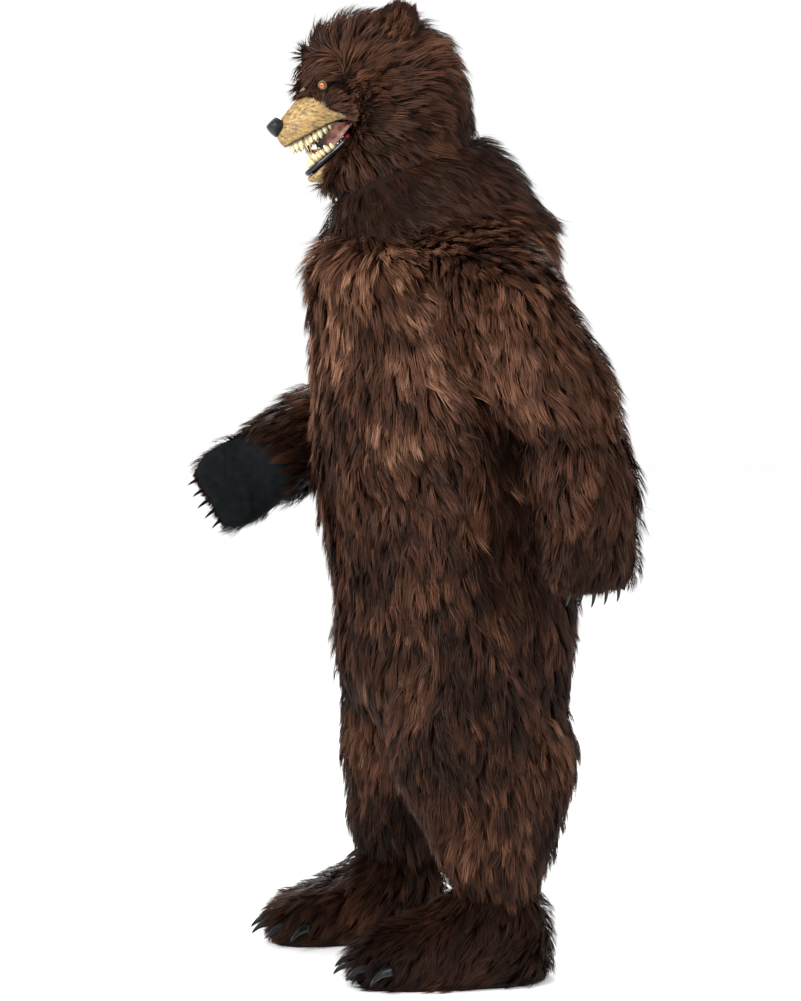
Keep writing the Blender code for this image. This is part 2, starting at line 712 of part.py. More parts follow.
def build_hood():
    """Hood halves. Returns the outer and the inner grid of the left half, and the right's, in the frame."""
    local = np.array([[hood_point(i / HOOD_ROWS, 1.0 - j / HOOD_COLUMNS) for j in range(HOOD_COLUMNS + 1)]
                      for i in range(HOOD_ROWS + 1)])
    local[:, 0, 0] = 0.0
    local[:, -1, 0] = 0.0
    local = local[:, ::-1]
    thickness = np.full(local.shape[:2], FUR)
    for j in range(HOOD_COLUMNS + 1):
        s = j / HOOD_COLUMNS
        rim = FUR_AT_FACE + (FUR - FUR_AT_FACE) * max(0.0, -math.cos(math.pi * s))
        for row in range(4):
            thickness[row, j] = rim + (FUR - rim) * row / 4
    other = mirrored(local)
    halves = shared_normals([local, other])
    for side, grid, normals, wall in (("left", local, halves[0], thickness),
                                      ("right", other, halves[1], thickness[:, ::-1])):
        inner = grid - normals * wall[..., None]
        outer_at, inner_at = in_head(grid), in_head(inner)
        drawn = [eased_edge(g, SEAM_GAP / 2, "tblr") for g in (outer_at, inner_at)]
        add_piece(f"hood_{side}", wall_mesh(*drawn), "fur")
        if side == "left":
            rim = inner[0].copy()
            neck_outer, neck_inner = grid[-1], inner[-1]
            skin = outer_at
        else:
            other_skin = outer_at
    return rim, neck_outer, neck_inner, skin, other_skin


def boat(rim, rim_columns, front, half_widths, lift):
    """Snout or jaw as nested arches, in the head's frame: each joins the face ring on both sides round the front."""
    rows = []
    for r, index in enumerate(rim_columns):
        base = rim[index].copy()
        base[0] = max(base[0], 0.0)
        nose_y, nose_height = front[r]
        half = min(half_widths[r], base[0] if base[0] > 0 else 0.0)
        arch = []
        for c in range(ARCH_COLUMNS + 1):
            f = math.sin(math.pi / 2 * c / ARCH_COLUMNS) ** 0.9
            cheek = max(0.0, 1.0 - f / 0.45) ** 2
            rounding = max(0.0, 1.0 - f ** 3.0) ** 0.5
            x = (half + (base[0] - half) * cheek) * rounding
            bulge = lift[r] * math.sin(math.pi * f ** 0.5)
            y = base[1] + (nose_y - base[1]) * f
            z = base[2] + (nose_height - base[2]) * f + bulge
            arch.append((x, y, z))
        arch[-1] = (0.0, nose_y, nose_height)
        right = [(-x, y, z) for x, y, z in arch[-2::-1]]
        rows.append(arch + right)
    return np.array(rows)


def add_boat(name, grid, normals, wall, colour, sides, rims):
    """Adds a snout or jaw as a wall, drawn back from the mask on the named sides, and returns its inner face."""
    inner = grid - normals * np.asarray(wall)[..., None]
    drawn = [eased_edge(in_head(g), MASK_GAP, sides) for g in (grid, inner)]
    add_piece(name, wall_mesh(*drawn, rims=rims), colour)
    return inner


def welded_normals(grid):
    """Normals of a boat, whose last row is one line that both sides share."""
    return shared_normals([grid])[0]


def build_snout(rim):
    """Upper snout and lower jaw, both moulded latex. Returns their outer and inner grids in the head's frame."""
    middle = rim.mean(axis=0) * (0.0, 1.0, 1.0)
    rim = rim + (middle - rim) / np.linalg.norm(middle - rim, axis=1)[:, None] * RIM_INSET
    rim[0, 0] = rim[-1, 0] = 0.0
    upper_columns = list(range(MOUTH_COLUMN, HOOD_COLUMNS + 1))
    upper = boat(rim, upper_columns, SNOUT_FRONT, SNOUT_HALF_WIDTHS, SNOUT_LIFTS)
    lower_columns = list(range(MOUTH_COLUMN, -1, -1))
    lower = boat(rim, lower_columns, JAW_FRONT, JAW_HALF_WIDTHS, JAW_LIFTS)
    lower = lower[::-1]
    upper_normals, lower_normals = welded_normals(upper), welded_normals(lower)
    upper_wall = np.full(upper.shape[:2], LATEX)
    lower_wall = np.repeat(LATEX * np.array(JAW_WALL_SHARES)[::-1, None], lower.shape[1], axis=1)
    upper_inner = add_boat("muzzle_upper", upper, upper_normals, upper_wall, "latex", "lrt", (True, False))
    lower_inner = add_boat("muzzle_lower", lower, lower_normals, lower_wall, "latex", "lrb", (False, True))
    return upper, upper_inner, lower[::-1], lower_inner[::-1]


def along_path(path, distance):
    """Point at a distance along a path of points."""
    steps = np.linalg.norm(np.diff(path, axis=0), axis=1)
    marks = np.concatenate([[0.0], np.cumsum(steps)])
    return np.array([np.interp(distance, marks, path[:, k]) for k in range(3)])


def arch_normal(arch):
    """Direction square to the plane of an arch, through its two ends and its front."""
    return unit(np.cross(arch[-1] - arch[0], arch[len(arch) // 2] - arch[0]))


def towards_middle(point, centre, direction):
    """Unit direction from a point of an arch to the arch's middle, square to direction."""
    gap = centre - point
    return unit(gap - np.dot(gap, direction) * direction)


def gum_arch(edge, half_width):
    """The lip's edge without its flare into the cheeks, from a little inside one mouth corner to the other."""
    arch = edge.copy()
    arch[:, 0] = np.clip(arch[:, 0], LATEX - half_width, half_width - LATEX)
    arch[0] = arch[0] * (1 - GUM_START) + arch[1] * GUM_START
    arch[-1] = arch[-1] * (1 - GUM_START) + arch[-2] * GUM_START
    return arch


def build_gums(name, edge, direction, plate_sizes, teeth_table):
    """A gum plate that fills the mouth side of a jaw, with teeth standing along its arch."""
    depth, thickness, clearance = plate_sizes
    arch = edge - direction * depth
    centre = arch.mean(axis=0)
    ring = np.array([p + towards_middle(p, centre, direction) * clearance for p in arch])
    bm = bmesh.new()
    lows = [bm.verts.new(p) for p in ring]
    highs = [bm.verts.new(p + direction * thickness) for p in ring]
    total = len(ring)
    for j in range(total):
        k = (j + 1) % total
        bm.faces.new((lows[j], lows[k], highs[k], highs[j]))
    for j in range(total // 2):
        k = total - 1 - j
        if k - j > 2:
            bm.faces.new((lows[j + 1], lows[j], lows[k], lows[k - 1]))
            bm.faces.new((highs[j], highs[j + 1], highs[k - 1], highs[k]))
        else:
            bm.faces.new((lows[j + 1], lows[j], lows[k]))
            bm.faces.new((highs[j], highs[j + 1], highs[k]))
    bmesh.ops.recalc_face_normals(bm, faces=bm.faces)
    plate = add_piece(name, bm, "ivory")
    teeth = bmesh.new()
    turn = Vector(direction).to_track_quat("Z", "Y").to_matrix().to_4x4()
    front = total // 2
    for path in (ring[front:], ring[front::-1]):
        for distance, radius, length, tip in teeth_table:
            root = along_path(path, distance)
            inset = towards_middle(root, centre, direction) * (radius + TOOTH_INSET)
            middle = root + inset + direction * (thickness - TOOTH_SUNK + length / 2)
            bmesh.ops.create_cone(teeth, cap_ends=True, segments=5, radius1=radius, radius2=radius * tip,
                                  depth=length, matrix=Matrix.Translation(middle) @ turn)
    mesh = bpy.data.meshes.new(f"{name}_teeth")
    teeth.to_mesh(mesh)
    teeth.free()
    row = bpy.data.objects.new(f"{name}_teeth", mesh)
    CUTTERS.objects.link(row)
    as_cutter(row)
    join = plate.modifiers.new("teeth", "BOOLEAN")
    join.operation = "UNION"
    join.use_self = True
    join.object = row


def as_cutter(thing):
    """Keeps a helper solid out of the picture."""
    thing.hide_render = True
    thing.display_type = "WIRE"


def seat_on(piece, points, normals, reach, depth=0.03):
    """Cuts a piece back to 0.3 mm off the surface it sits on, which is the hull of the near points of that surface."""
    centre = np.array(piece.matrix_world @ Vector(np.mean([v.co[:] for v in piece.data.vertices], axis=0)))
    points = points.reshape(-1, 3)
    normals = normals.reshape(-1, 3)
    near = np.linalg.norm(points - centre, axis=1) < reach
    bm = bmesh.new()
    for point, normal in zip(points[near], normals[near]):
        bm.verts.new(point + normal * SEAM_GAP)
        if depth > 0:
            bm.verts.new(point - normal * depth)
    bmesh.ops.remove_doubles(bm, verts=bm.verts, dist=0.0002)
    hull = bmesh.ops.convex_hull(bm, input=bm.verts)
    bmesh.ops.delete(bm, geom=list({v for v in hull["geom_interior"] if isinstance(v, bmesh.types.BMVert)}),
                     context="VERTS")
    bmesh.ops.recalc_face_normals(bm, faces=bm.faces)
    mesh = bpy.data.meshes.new(f"{piece.name}_seat")
    bm.to_mesh(mesh)
    bm.free()
    cutter = bpy.data.objects.new(f"{piece.name}_seat", mesh)
    CUTTERS.objects.link(cutter)
    as_cutter(cutter)
    cut = piece.modifiers.new("seat", "BOOLEAN")
    cut.operation = "DIFFERENCE"
    cut.object = cutter


def claw_mesh(root, along, bend, length, radius, flatness):
    """A curved, tapering claw from its root along a direction, bending towards another."""
    sides, steps = 7, 4
    along, bend = unit(along), unit(bend)
    side = unit(np.cross(along, bend))
    bm = bmesh.new()
    rings = []
    for i in range(steps):
        t = i / steps
        sweep = t * math.radians(55)
        centre = root + length * (math.sin(sweep) / 0.96 * along + (1 - math.cos(sweep)) / 0.96 * bend)
        axis = unit(math.cos(sweep) * along + math.sin(sweep) * bend)
        out = np.cross(side, axis)
        size = radius * (1 - t) ** 0.75
        rings.append([bm.verts.new(centre + size * (math.cos(a) * flatness * side + math.sin(a) * out))
                      for a in (2 * math.pi * k / sides for k in range(sides))])
    sweep = math.radians(55)
    tip = bm.verts.new(root + length * (math.sin(sweep) / 0.96 * along + (1 - math.cos(sweep)) / 0.96 * bend))
    for low, high in zip(rings[:-1], rings[1:]):
        for j in range(sides):
            k = (j + 1) % sides
            bm.faces.new((low[j], low[k], high[k], high[j]))
    for j in range(sides):
        bm.faces.new((rings[-1][j], rings[-1][(j + 1) % sides], tip))
    bm.faces.new(rings[0][::-1])
    bmesh.ops.recalc_face_normals(bm, faces=bm.faces)
    return bm


def build_face(rim, skins):
    """Snout, jaw, teeth, lip, nose, eyes and ears."""
    upper, upper_inner, lower, lower_inner = build_snout(rim)
    away_upper, away_lower = arch_normal(in_head(upper[0])), arch_normal(in_head(lower[0]))
    away_upper = away_upper if away_upper[2] < 0 else -away_upper
    away_lower = away_lower if away_lower[2] > 0 else -away_lower
    upper_arch = in_head(gum_arch(upper_inner[0], SNOUT_HALF_WIDTHS[0]))
    lower_arch = in_head(gum_arch(lower_inner[0], JAW_HALF_WIDTHS[0]))
    build_gums("teeth_upper", upper_arch, away_upper, UPPER_GUM, UPPER_TEETH)
    build_gums("teeth_lower", lower_arch, away_lower, LOWER_GUM, LOWER_TEETH)

    edge = in_head(lower[0])
    outward = [-towards_middle(p, edge.mean(axis=0), away_lower) for p in edge]
    middle = edge + np.array(outward) * LIP_OVERHANG + away_lower * (LIP_RADIUS + LIP_CLEARANCE)
    curve = bpy.data.curves.new("lower_lip", "CURVE")
    curve.dimensions = "3D"
    curve.bevel_depth = LIP_RADIUS
    curve.bevel_resolution = 1
    curve.use_fill_caps = True
    spline = curve.splines.new("POLY")
    path = middle[1:-1]
    spline.points.add(len(path) - 1)
    for spot, place in zip(spline.points, path):
        spot.co = (*place, 1.0)
    drawn = bpy.data.objects.new("lip_curve", curve)
    COSTUME.objects.link(drawn)
    bpy.context.view_layer.update()
    mesh = bpy.data.meshes.new_from_object(drawn.evaluated_get(bpy.context.evaluated_depsgraph_get()))
    bm = bmesh.new()
    bm.from_mesh(mesh)
    bpy.data.objects.remove(drawn)
    add_piece("lower_lip", bm, "black")

    bm = bmesh.new()
    bmesh.ops.create_uvsphere(bm, u_segments=12, v_segments=8, radius=1.0)
    for vert in bm.verts:
        x, y, z = vert.co
        narrow = 1.0 - NOSE_NARROWING * max(-z, 0.0)
        if y < 0:
            y = y * (1.0 - abs(z)) ** NOSE_WEDGE_POWER
        placed = in_head(np.array((x * NOSE_RADII[0] * narrow, NOSE_PLACE[0] + y * NOSE_RADII[1],
                                   NOSE_PLACE[1] + z * NOSE_RADII[2])))
        vert.co = placed
    nose = add_piece("nose", bm, "black")
    seat_on(nose, in_head(upper), turned(welded_normals(upper)), 0.05, depth=0.02)

    for side, skin in skins.items():
        sign = 1.0 if side == "left" else -1.0
        normals = shared_normals([skin])[0]
        eye_centre = in_head(np.array((sign * EYE_PLACE[0], EYE_PLACE[1], EYE_PLACE[2])))
        nearest = BVHTree.FromPolygons(*surface(skin)).find_nearest(Vector(eye_centre))
        centre = np.array(nearest[0]) - np.array(nearest[1]) * EYE_RADIUS * EYE_SUNK
        bm = bmesh.new()
        bmesh.ops.create_uvsphere(bm, u_segments=12, v_segments=8, radius=EYE_RADIUS,
                                  matrix=Matrix.Translation(centre))
        eye = add_piece(f"eye_{side}", bm, "amber")
        seat_on(eye, skin, normals, 0.075)
        bm = bmesh.new()
        bmesh.ops.create_uvsphere(bm, u_segments=12, v_segments=8, radius=1.0)
        lean = Euler((math.radians(-12), sign * math.radians(EAR_LEAN_DEG),
                      sign * math.radians(EAR_TURN_DEG))).to_matrix()
        for vert in bm.verts:
            x, y, z = vert.co
            dent = 0.75 * max(0.0, 1.0 - x * x - z * z) if y < 0 else 0.0
            local = lean @ Vector((x * EAR_RADII[0], (y + dent) * EAR_RADII[1], z * EAR_RADII[2]))
            vert.co = in_head(np.array((sign * EAR_PLACE[0], EAR_PLACE[1], EAR_PLACE[2])) + np.array(local))
        ear = add_piece(f"ear_{side}", bm, "fur")
        seat_on(ear, skin, normals, 0.12)


def turned(normals):
    """Directions of the head's frame in the bear's frame."""
    return normals @ np.array(head_matrix())[:3, :3].T


def surface(grid):
    """Points and triangles of a grid, facing out, for finding the nearest point on it."""
    rows, columns, _ = grid.shape
    points = [tuple(p) for p in grid.reshape(-1, 3)]
    faces = []
    for i in range(rows - 1):
        for j in range(columns - 1):
            a, b = i * columns + j, i * columns + j + 1
            c, d = a + columns, b + columns
            faces += [(a, c, d), (a, d, b)]
    return points, faces


def cowl_ring(row, turns):
    """Ring of the cowl at the given turns from the front towards the left, in the frame."""
    front_y, back_y, half_width, front, side, back, share = row
    swing = math.radians(HEAD_TURN_DEG) * share
    ring = []
    for turn in turns:
        ahead = math.cos(turn)
        y = (front_y + back_y) / 2 - (back_y - front_y) / 2 * ahead
        height = side + (front - side) * max(ahead, 0.0) ** 1.6 + (back - side) * max(-ahead, 0.0) ** 1.3
        x = half_width * math.sin(turn)
        y -= HEAD_PIVOT_Y
        ring.append((x * math.cos(swing) - y * math.sin(swing),
                     HEAD_PIVOT_Y + x * math.sin(swing) + y * math.cos(swing), up(height)))
    return np.array(ring)


def push_clear(suit, inner, outer, corners):
    """Moves the corners of one cell of the cowl out until samples of it clear the suit."""
    at_rim = corners[0][0] == len(inner) - 1
    for across in (0.0, 0.25, 0.5, 0.75):
        for upwards in (0.0, 0.5):
            weights = ((1 - across) * (1 - upwards), across * (1 - upwards), (1 - across) * upwards, across * upwards)
            for skin in (inner, outer) if at_rim and upwards == 0.0 else (inner,):
                sample = Vector(sum(weight * skin[corner] for weight, corner in zip(weights, corners)))
                nearest, away = suit.find_nearest(sample)[:2]
                short = COWL_CLEARANCE - (sample - nearest).dot(away)
                if short > 0:
                    for weight, corner in zip(weights, corners):
                        if corner[0]:
                            inner[corner] += np.array(away) * short * weight
                            outer[corner] += np.array(away) * short * weight


def build_cowl(neck_outer, neck_inner, suit_grids):
    """Fur drape from the hood's neck seam over the shoulders, pushed out until it just clears the suit."""
    turns = [2 * math.pi * j / COWL_COLUMNS for j in range(COWL_COLUMNS)]
    half = COWL_COLUMNS // 2
    tops = []
    for ring in (neck_outer, neck_inner):
        places = np.linspace(0.0, 1.0, len(ring))
        left = [np.array([np.interp(j / half, places, ring[:, c]) for c in range(3)]) for j in range(half + 1)]
        tops.append(in_head(np.array(left + [p * (-1.0, 1.0, 1.0) for p in left[1:-1][::-1]])))
    down = unit(np.cross(tops[0][half // 2] - tops[0][0], tops[0][-half // 2] - tops[0][0]))
    down = down if down[2] < 0 else -down
    outer = np.array([tops[0] + down * SEAM_GAP] + [cowl_ring(row, turns) for row in COWL])
    closed = np.concatenate([outer, outer[:, :1]], axis=1)
    normals = shared_normals([closed])[0][:, :-1]
    inner = outer - normals * np.array(FUR_ON_COWL)[:, None, None]
    inner[0] = tops[1] + down * SEAM_GAP
    points, faces = [], []
    for grid in suit_grids.values():
        start = len(points)
        more, tris = surface(grid)
        points += more
        faces += [tuple(start + k for k in tri) for tri in tris]
    suit = BVHTree.FromPolygons(points, faces)
    for _ in range(12):
        for i in range(1, len(inner)):
            for j in range(COWL_COLUMNS):
                k = (j + 1) % COWL_COLUMNS
                push_clear(suit, inner, outer, ((i, j), (i, k), (i - 1, j), (i - 1, k)))
    add_piece("neck_cowl", wall_mesh(outer, inner, ring=True), "fur")


# Mitts and boots


def build_mitt(side, frames, cuff_inner):
    """Fur back, palm and claws of one mitt. Its first ring fits inside the sleeve's cuff."""
    sign = 1.0 if side == "left" else -1.0
    centre, inward, forward, _, _ = frames[-1]
    axis = unit(np.cross(inward, forward)) * -1.0
    flip = np.array((sign, 1.0, 1.0))
    cuff = cuff_inner.copy()
    if side == "right":
        cuff = cuff[::-1] * flip
    middle = cuff[:-1].mean(axis=0)
    top = middle + (cuff - middle) * (1.0 - HAND_FIT / np.linalg.norm(cuff[0] - middle))
    heading = unit(MITT_TURN[side])
    across = unit(inward - np.dot(inward, heading) * heading)
    width = unit(np.cross(across, heading))
    if np.dot(width, forward) < 0:
        width = -width
    shells = {}
    quarter = SLEEVE_COLUMNS // 4
    palm_columns = [(k - quarter) % SLEEVE_COLUMNS for k in range(2 * quarter + 1)]
    back_columns = [(k + quarter) % SLEEVE_COLUMNS for k in range(2 * quarter + 1)]
    for part, columns in (("palm", palm_columns), ("back", back_columns)):
        rows = [[top[j] - axis * MITT_INSIDE_CUFF for j in columns], [top[j] for j in columns]]
        for far, half_width, back_half, palm_half in MITT:
            row = []
            for j in columns:
                around = 2 * math.pi * j / SLEEVE_COLUMNS
                thick = palm_half if part == "palm" else back_half
                lift = abs(math.cos(around)) * thick * (1.0 if part == "palm" else -1.0)
                row.append(middle + heading * far + width * half_width * math.sin(around) + across * lift)
            rows.append(row)
        shells[part] = np.array(rows)
    for part in shells:
        shells[part] = shells[part] * flip
        if side == "right":
            shells[part] = shells[part][:, ::-1]
    normals = dict(zip(shells, shared_normals(list(shells.values()))))
    for part, name, wall, colour in (("palm", f"palm_{side}", VINYL, "black"),
                                     ("back", f"mitt_back_{side}", FUR_ON_MITT, "fur")):
        thickness = np.full(shells[part].shape[:2], wall)
        thickness[:2] = MITT_WALL_AT_CUFF if part == "back" else VINYL
        thickness[-3:] = np.minimum(np.array(WALL_AT_TIP)[:, None], wall)
        add_wall(name, shells[part], normals[part], thickness, colour)
    back, back_normals = shells["back"], normals["back"]
    tip = (middle + heading * HAND_CLAW_ROOT) * flip
    palmward = across * flip
    for n in range(5):
        offset = (n - 2) * HAND_CLAW_SPACING
        root = tip + width * flip * offset - palmward * HAND_CLAW_DROP - heading * flip * abs(offset) * 0.12
        along = heading * flip + width * flip * offset * 2.0
        piece = add_piece(f"hand_claw_{side}_{n + 1}",
                          claw_mesh(root, along, palmward, HAND_CLAW_LENGTH, HAND_CLAW_RADIUS, 0.85), "claw")
        points = np.concatenate([back.reshape(-1, 3), shells["palm"].reshape(-1, 3)])
        both = np.concatenate([back_normals.reshape(-1, 3), normals["palm"].reshape(-1, 3)])
        seat_on(piece, points, both, 0.085, depth=0.0)


def boot_ring(side, row, ankle):
    """One level of a boot cover round the foot, full at the toe and round at the heel."""
    height_toe, height_heel, half_width, toe, heel = row
    turn = math.radians(FOOT_TURN_DEG[side])
    ring = []
    total = 2 * QUARTER_COLUMNS
    for j in range(total):
        around = 2 * math.pi * j / total
        front = math.sin(around) >= 0
        power = 2.0 / TOE_FULLNESS if front else 1.0
        x = -half_width * math.copysign(abs(math.cos(around)) ** power, math.cos(around))
        y = -toe * abs(math.sin(around)) ** power if front else heel * abs(math.sin(around))
        height = height_heel + (height_toe - height_heel) * (heel - y) / (toe + heel)
        ring.append((ankle[0] + x * math.cos(turn) - y * math.sin(turn),
                     ankle[1] + x * math.sin(turn) + y * math.cos(turn), up(height)))
    return np.array(ring)


def build_boot(side, inner):
    """Fur upper, sole and claws of one boot cover. Its top fits inside the leg's hem."""
    sign = 1.0 if side == "left" else -1.0
    flip = np.array((sign, 1.0, 1.0))
    front, back = inner[f"body_front_{side}"][-1], inner[f"body_back_{side}"][-1]
    if side == "right":
        front, back = front[::-1] * flip, back[::-1] * flip
    back = back if np.allclose(back[0], front[-1], atol=1e-5) else back[::-1]
    hem = np.concatenate([front[:-1], back[:-1]])
    middle = hem.mean(axis=0)
    snug = middle + (hem - middle) * BOOT_FIT_SHARE
    ankle = (middle[0], middle[1])
    rings = [boot_ring(side, row, ankle) for row in BOOT]
    above = snug.copy()
    above[:, 2] = above[:, 2].mean() + BOOT_INSIDE_HEM
    above[:, :2] = ankle + (above[:, :2] - ankle) * BOOT_TOP_SHARE
    outer = np.array(rings + [snug, above])
    closed = np.concatenate([outer, outer[:, :1]], axis=1)
    normals = shared_normals([closed])[0]
    normals = normals if np.dot(normals[2, 0], outer[2, 0] - (*ankle, outer[2, 0, 2])) > 0 else -normals
    normals = normals[:, :-1]
    thickness = np.full(outer.shape[:2], FUR_ON_BOOT)
    thickness[-3:] = np.array(WALL_AT_BOOT_TOP)[:, None]
    inner_boot = outer - normals * thickness[..., None]
    inner_boot[0, :, 2] = outer[0, :, 2]
    wall = wall_mesh(outer * flip, inner_boot * flip, ring=True)
    bmesh.ops.recalc_face_normals(wall, faces=wall.faces)
    add_piece(f"boot_{side}", wall, "fur")

    outline = rings[0] * flip
    bm = bmesh.new()
    low = [bm.verts.new((x, y, up(0.0))) for x, y, _ in outline]
    high = [bm.verts.new((x, y, up(SOLE))) for x, y, _ in outline]
    total = len(low)
    for j in range(total):
        k = (j + 1) % total
        bm.faces.new((low[j], low[k], high[k], high[j]))
    bm.faces.new(low[::-1])
    bm.faces.new(high)
    bmesh.ops.recalc_face_normals(bm, faces=bm.faces)
    add_piece(f"sole_{side}", bm, "black")

    toe_reach = BOOT[1][3]
    turn = math.radians(FOOT_TURN_DEG[side])
    widest = math.sin(math.radians(max(FOOT_CLAW_TURNS)))
    for n, spread in enumerate(FOOT_CLAW_TURNS):
        swing = math.radians(spread)
        x = FOOT_CLAW_SIDEWAYS * math.sin(swing) / widest
        y = FOOT_CLAW_INSET - toe_reach + FOOT_CLAW_SET_BACK * (math.sin(swing) / widest) ** 2
        spot = np.array((x * math.cos(turn) - y * math.sin(turn), x * math.sin(turn) + y * math.cos(turn)))
        heading = np.array((math.sin(swing * 0.7 + turn), -math.cos(swing * 0.7 + turn), 0.10))
        root = np.array((ankle[0] + spot[0], ankle[1] + spot[1], up(FOOT_CLAW_HEIGHT)))
        piece = add_piece(f"foot_claw_{side}_{n + 1}",
                          claw_mesh(root * flip, heading * flip, (0, 0, -1), FOOT_CLAW_LENGTH, FOOT_CLAW_RADIUS, 0.8),
                          "claw")
        seat_on(piece, outer * flip, normals * flip, 0.07, depth=0.02)


for thing in list(bpy.data.objects):
    bpy.data.objects.remove(thing)
COSTUME = bpy.data.collections.new("bear_costume")
CUTTERS = bpy.data.collections.new("cutters")
bpy.context.scene.collection.children.link(COSTUME)
bpy.context.scene.collection.children.link(CUTTERS)

suit, suit_normals, suit_inner = build_suit()
build_zip(suit_inner)
face_rim, hood_neck, hood_neck_inner, left_skin, right_skin = build_hood()
build_face(face_rim, {"left": left_skin, "right": right_skin})
build_cowl(hood_neck, hood_neck_inner, suit)
for hand in ("left", "right"):
    build_mitt(hand, arm_frames(hand), suit_inner[f"sleeve_{hand}"][-1])
    build_boot(hand, suit_inner)
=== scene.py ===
"""The looks of the bear costume: its fur, mask, claws and their finish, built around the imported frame."""

import math

import bmesh
import bpy
import numpy as np
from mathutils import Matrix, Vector, noise
from mathutils.bvhtree import BVHTree
from mathutils.kdtree import KDTree


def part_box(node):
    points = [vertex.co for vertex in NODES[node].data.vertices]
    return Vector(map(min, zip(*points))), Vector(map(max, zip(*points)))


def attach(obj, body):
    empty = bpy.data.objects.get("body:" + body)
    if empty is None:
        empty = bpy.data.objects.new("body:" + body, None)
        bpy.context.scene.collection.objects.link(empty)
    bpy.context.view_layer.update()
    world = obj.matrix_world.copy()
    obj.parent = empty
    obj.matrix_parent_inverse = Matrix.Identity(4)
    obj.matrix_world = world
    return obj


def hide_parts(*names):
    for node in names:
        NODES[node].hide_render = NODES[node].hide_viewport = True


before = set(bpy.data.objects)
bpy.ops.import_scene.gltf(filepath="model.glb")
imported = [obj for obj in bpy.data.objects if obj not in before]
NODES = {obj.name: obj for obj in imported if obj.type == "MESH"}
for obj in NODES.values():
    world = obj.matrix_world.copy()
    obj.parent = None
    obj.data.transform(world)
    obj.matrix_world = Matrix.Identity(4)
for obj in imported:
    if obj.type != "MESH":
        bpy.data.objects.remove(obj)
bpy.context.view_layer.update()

# The frame's floor, and the head's own side plane: its pivot, and the turn that it has in the frame
FLOOR = min(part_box(f"sole_{side}")[0][2] for side in ("left", "right"))
HEAD_PIVOT_Y = -0.020
HEAD_TURN_DEG = -9.0
MUZZLE = Vector((0.0, -0.200, 0.235))
MOUTH = (0.0, -0.160, 1.600)

# Camera: the photograph shows the costume from its left side and a little from the front
CAMERA_AZIMUTH_DEG = 72.0
CAMERA_DISTANCE = 4.3
CAMERA_HEIGHT = 1.175
FOCAL_PIXELS = 2194.0
PICTURE_WIDTH = 801
SENSOR_MM = 36.0
CAMERA_TILT_DEG = 3.59
CAMERA_YAW_DEG = 0.56

# Fur: strands for each square metre, and the strand's own shape
STRANDS_PER_M2 = 76000
STRAND_LIMIT = 60000
STRAND_WIDTH = 0.0018
STRANDS_PER_CLUMP = 17
SKIN_DEPTH = 0.015
MITT_DEPTH_SHARE = 0.65
CLOTH_THICKNESS = 0.002
SEED = 7
CLEARLY_SEEN = 0.12
BARELY_SEEN = 0.03
SMOOTH_TURN_DEG = 30
MUZZLE_DENSITY = 3
LIGHT_STRANDS = 0.04

# Where the fur ends on the mask, as head y by height above the floor
SNOUT_FUR_EDGE = ((1.6464, 1.6582, 1.6758, 1.6866, 1.6870), (-0.140, -0.170, -0.193, -0.197, -0.300))
JAW_FUR_EDGE = ((1.531, 1.566, 1.600), (-0.176, -0.168, -0.150))

# Flat size of each fur panel, in metres: a width and length, and the area of the faces that
# its cloth covers. On hood_right, the cowl, the mitt backs and the ears that counts both faces of the wall.
CUTS = {
    "body_front_left": (0.52, 1.36, 0.558),
    "body_front_right": (0.52, 1.36, 0.533),
    "body_back_left": (0.50, 1.36, 0.525),
    "body_back_right": (0.50, 1.36, 0.553),
    "sleeve_left": (0.60, 0.84, 0.360),
    "sleeve_right": (0.60, 0.88, 0.402),
    "hood_left": (0.42, 0.50, 0.125),
    "hood_right": (0.42, 0.60, 0.219),
    "neck_cowl": (1.20, 0.36, 0.363),
    "ear_left": (0.12, 0.14, 0.014),
    "ear_right": (0.12, 0.14, 0.014),
    "mitt_back_left": (0.28, 0.30, 0.076),
    "mitt_back_right": (0.28, 0.30, 0.064),
    "boot_left": (0.80, 0.26, 0.167),
    "boot_right": (0.80, 0.26, 0.167),
}

# How much longer a crown is with its rounded tip than the flat-ended solid, how far it runs into the gum,
# the corners of a flat tip, and the tip's share of the root's radius under which it is an eye tooth
TOOTH_FULLNESS = 1.16
TOOTH_IN_GUM = 0.0025
TIP_CORNERS = 5
EYE_TOOTH_SHARE = 0.4

# Inner cheeks: how far inside the teeth they lie, their bulge, and their corner behind the last teeth
CHEEK_INSET = 0.006
CHEEK_BULGE = 0.005
CHEEK_CORNER = (0.047, -0.116, 1.640)
CHEEK_TEETH = {"teeth_upper": 4, "teeth_lower": 4}

# An eye's outward axis in the head's frame, for each metre to its side
EYE_FORWARD = 0.35
EYE_UP = 0.05

# Soft creases pressed in the palms. Columns: place along the hand, slant, bow, depth and half width
PALM_CREASES = (
    (-0.036, 0.18, 3.0, 0.0016, 0.0060),
    (0.004, -0.10, 4.0, 0.0022, 0.0075),
    (0.039, 0.06, 2.0, 0.0014, 0.0050),
)


def unit(v):
    """The vectors of an array, each made one long."""
    return v / np.maximum(np.linalg.norm(v, axis=-1, keepdims=True), 1e-9)


def smooth(value, low, high):
    """Eased 0 to 1 between low and high."""
    t = np.clip((np.asarray(value, dtype=float) - low) / (high - low), 0.0, 1.0)
    return t * t * (3 - 2 * t)


def head_places(p):
    """Places in the head's frame: across, fore and aft from its pivot, and height above the floor."""
    turn = math.radians(HEAD_TURN_DEG)
    x, y = p[:, 0], p[:, 1] - HEAD_PIVOT_Y
    return np.stack([x * math.cos(turn) + y * math.sin(turn), y * math.cos(turn) - x * math.sin(turn),
                     p[:, 2] - FLOOR], axis=1)


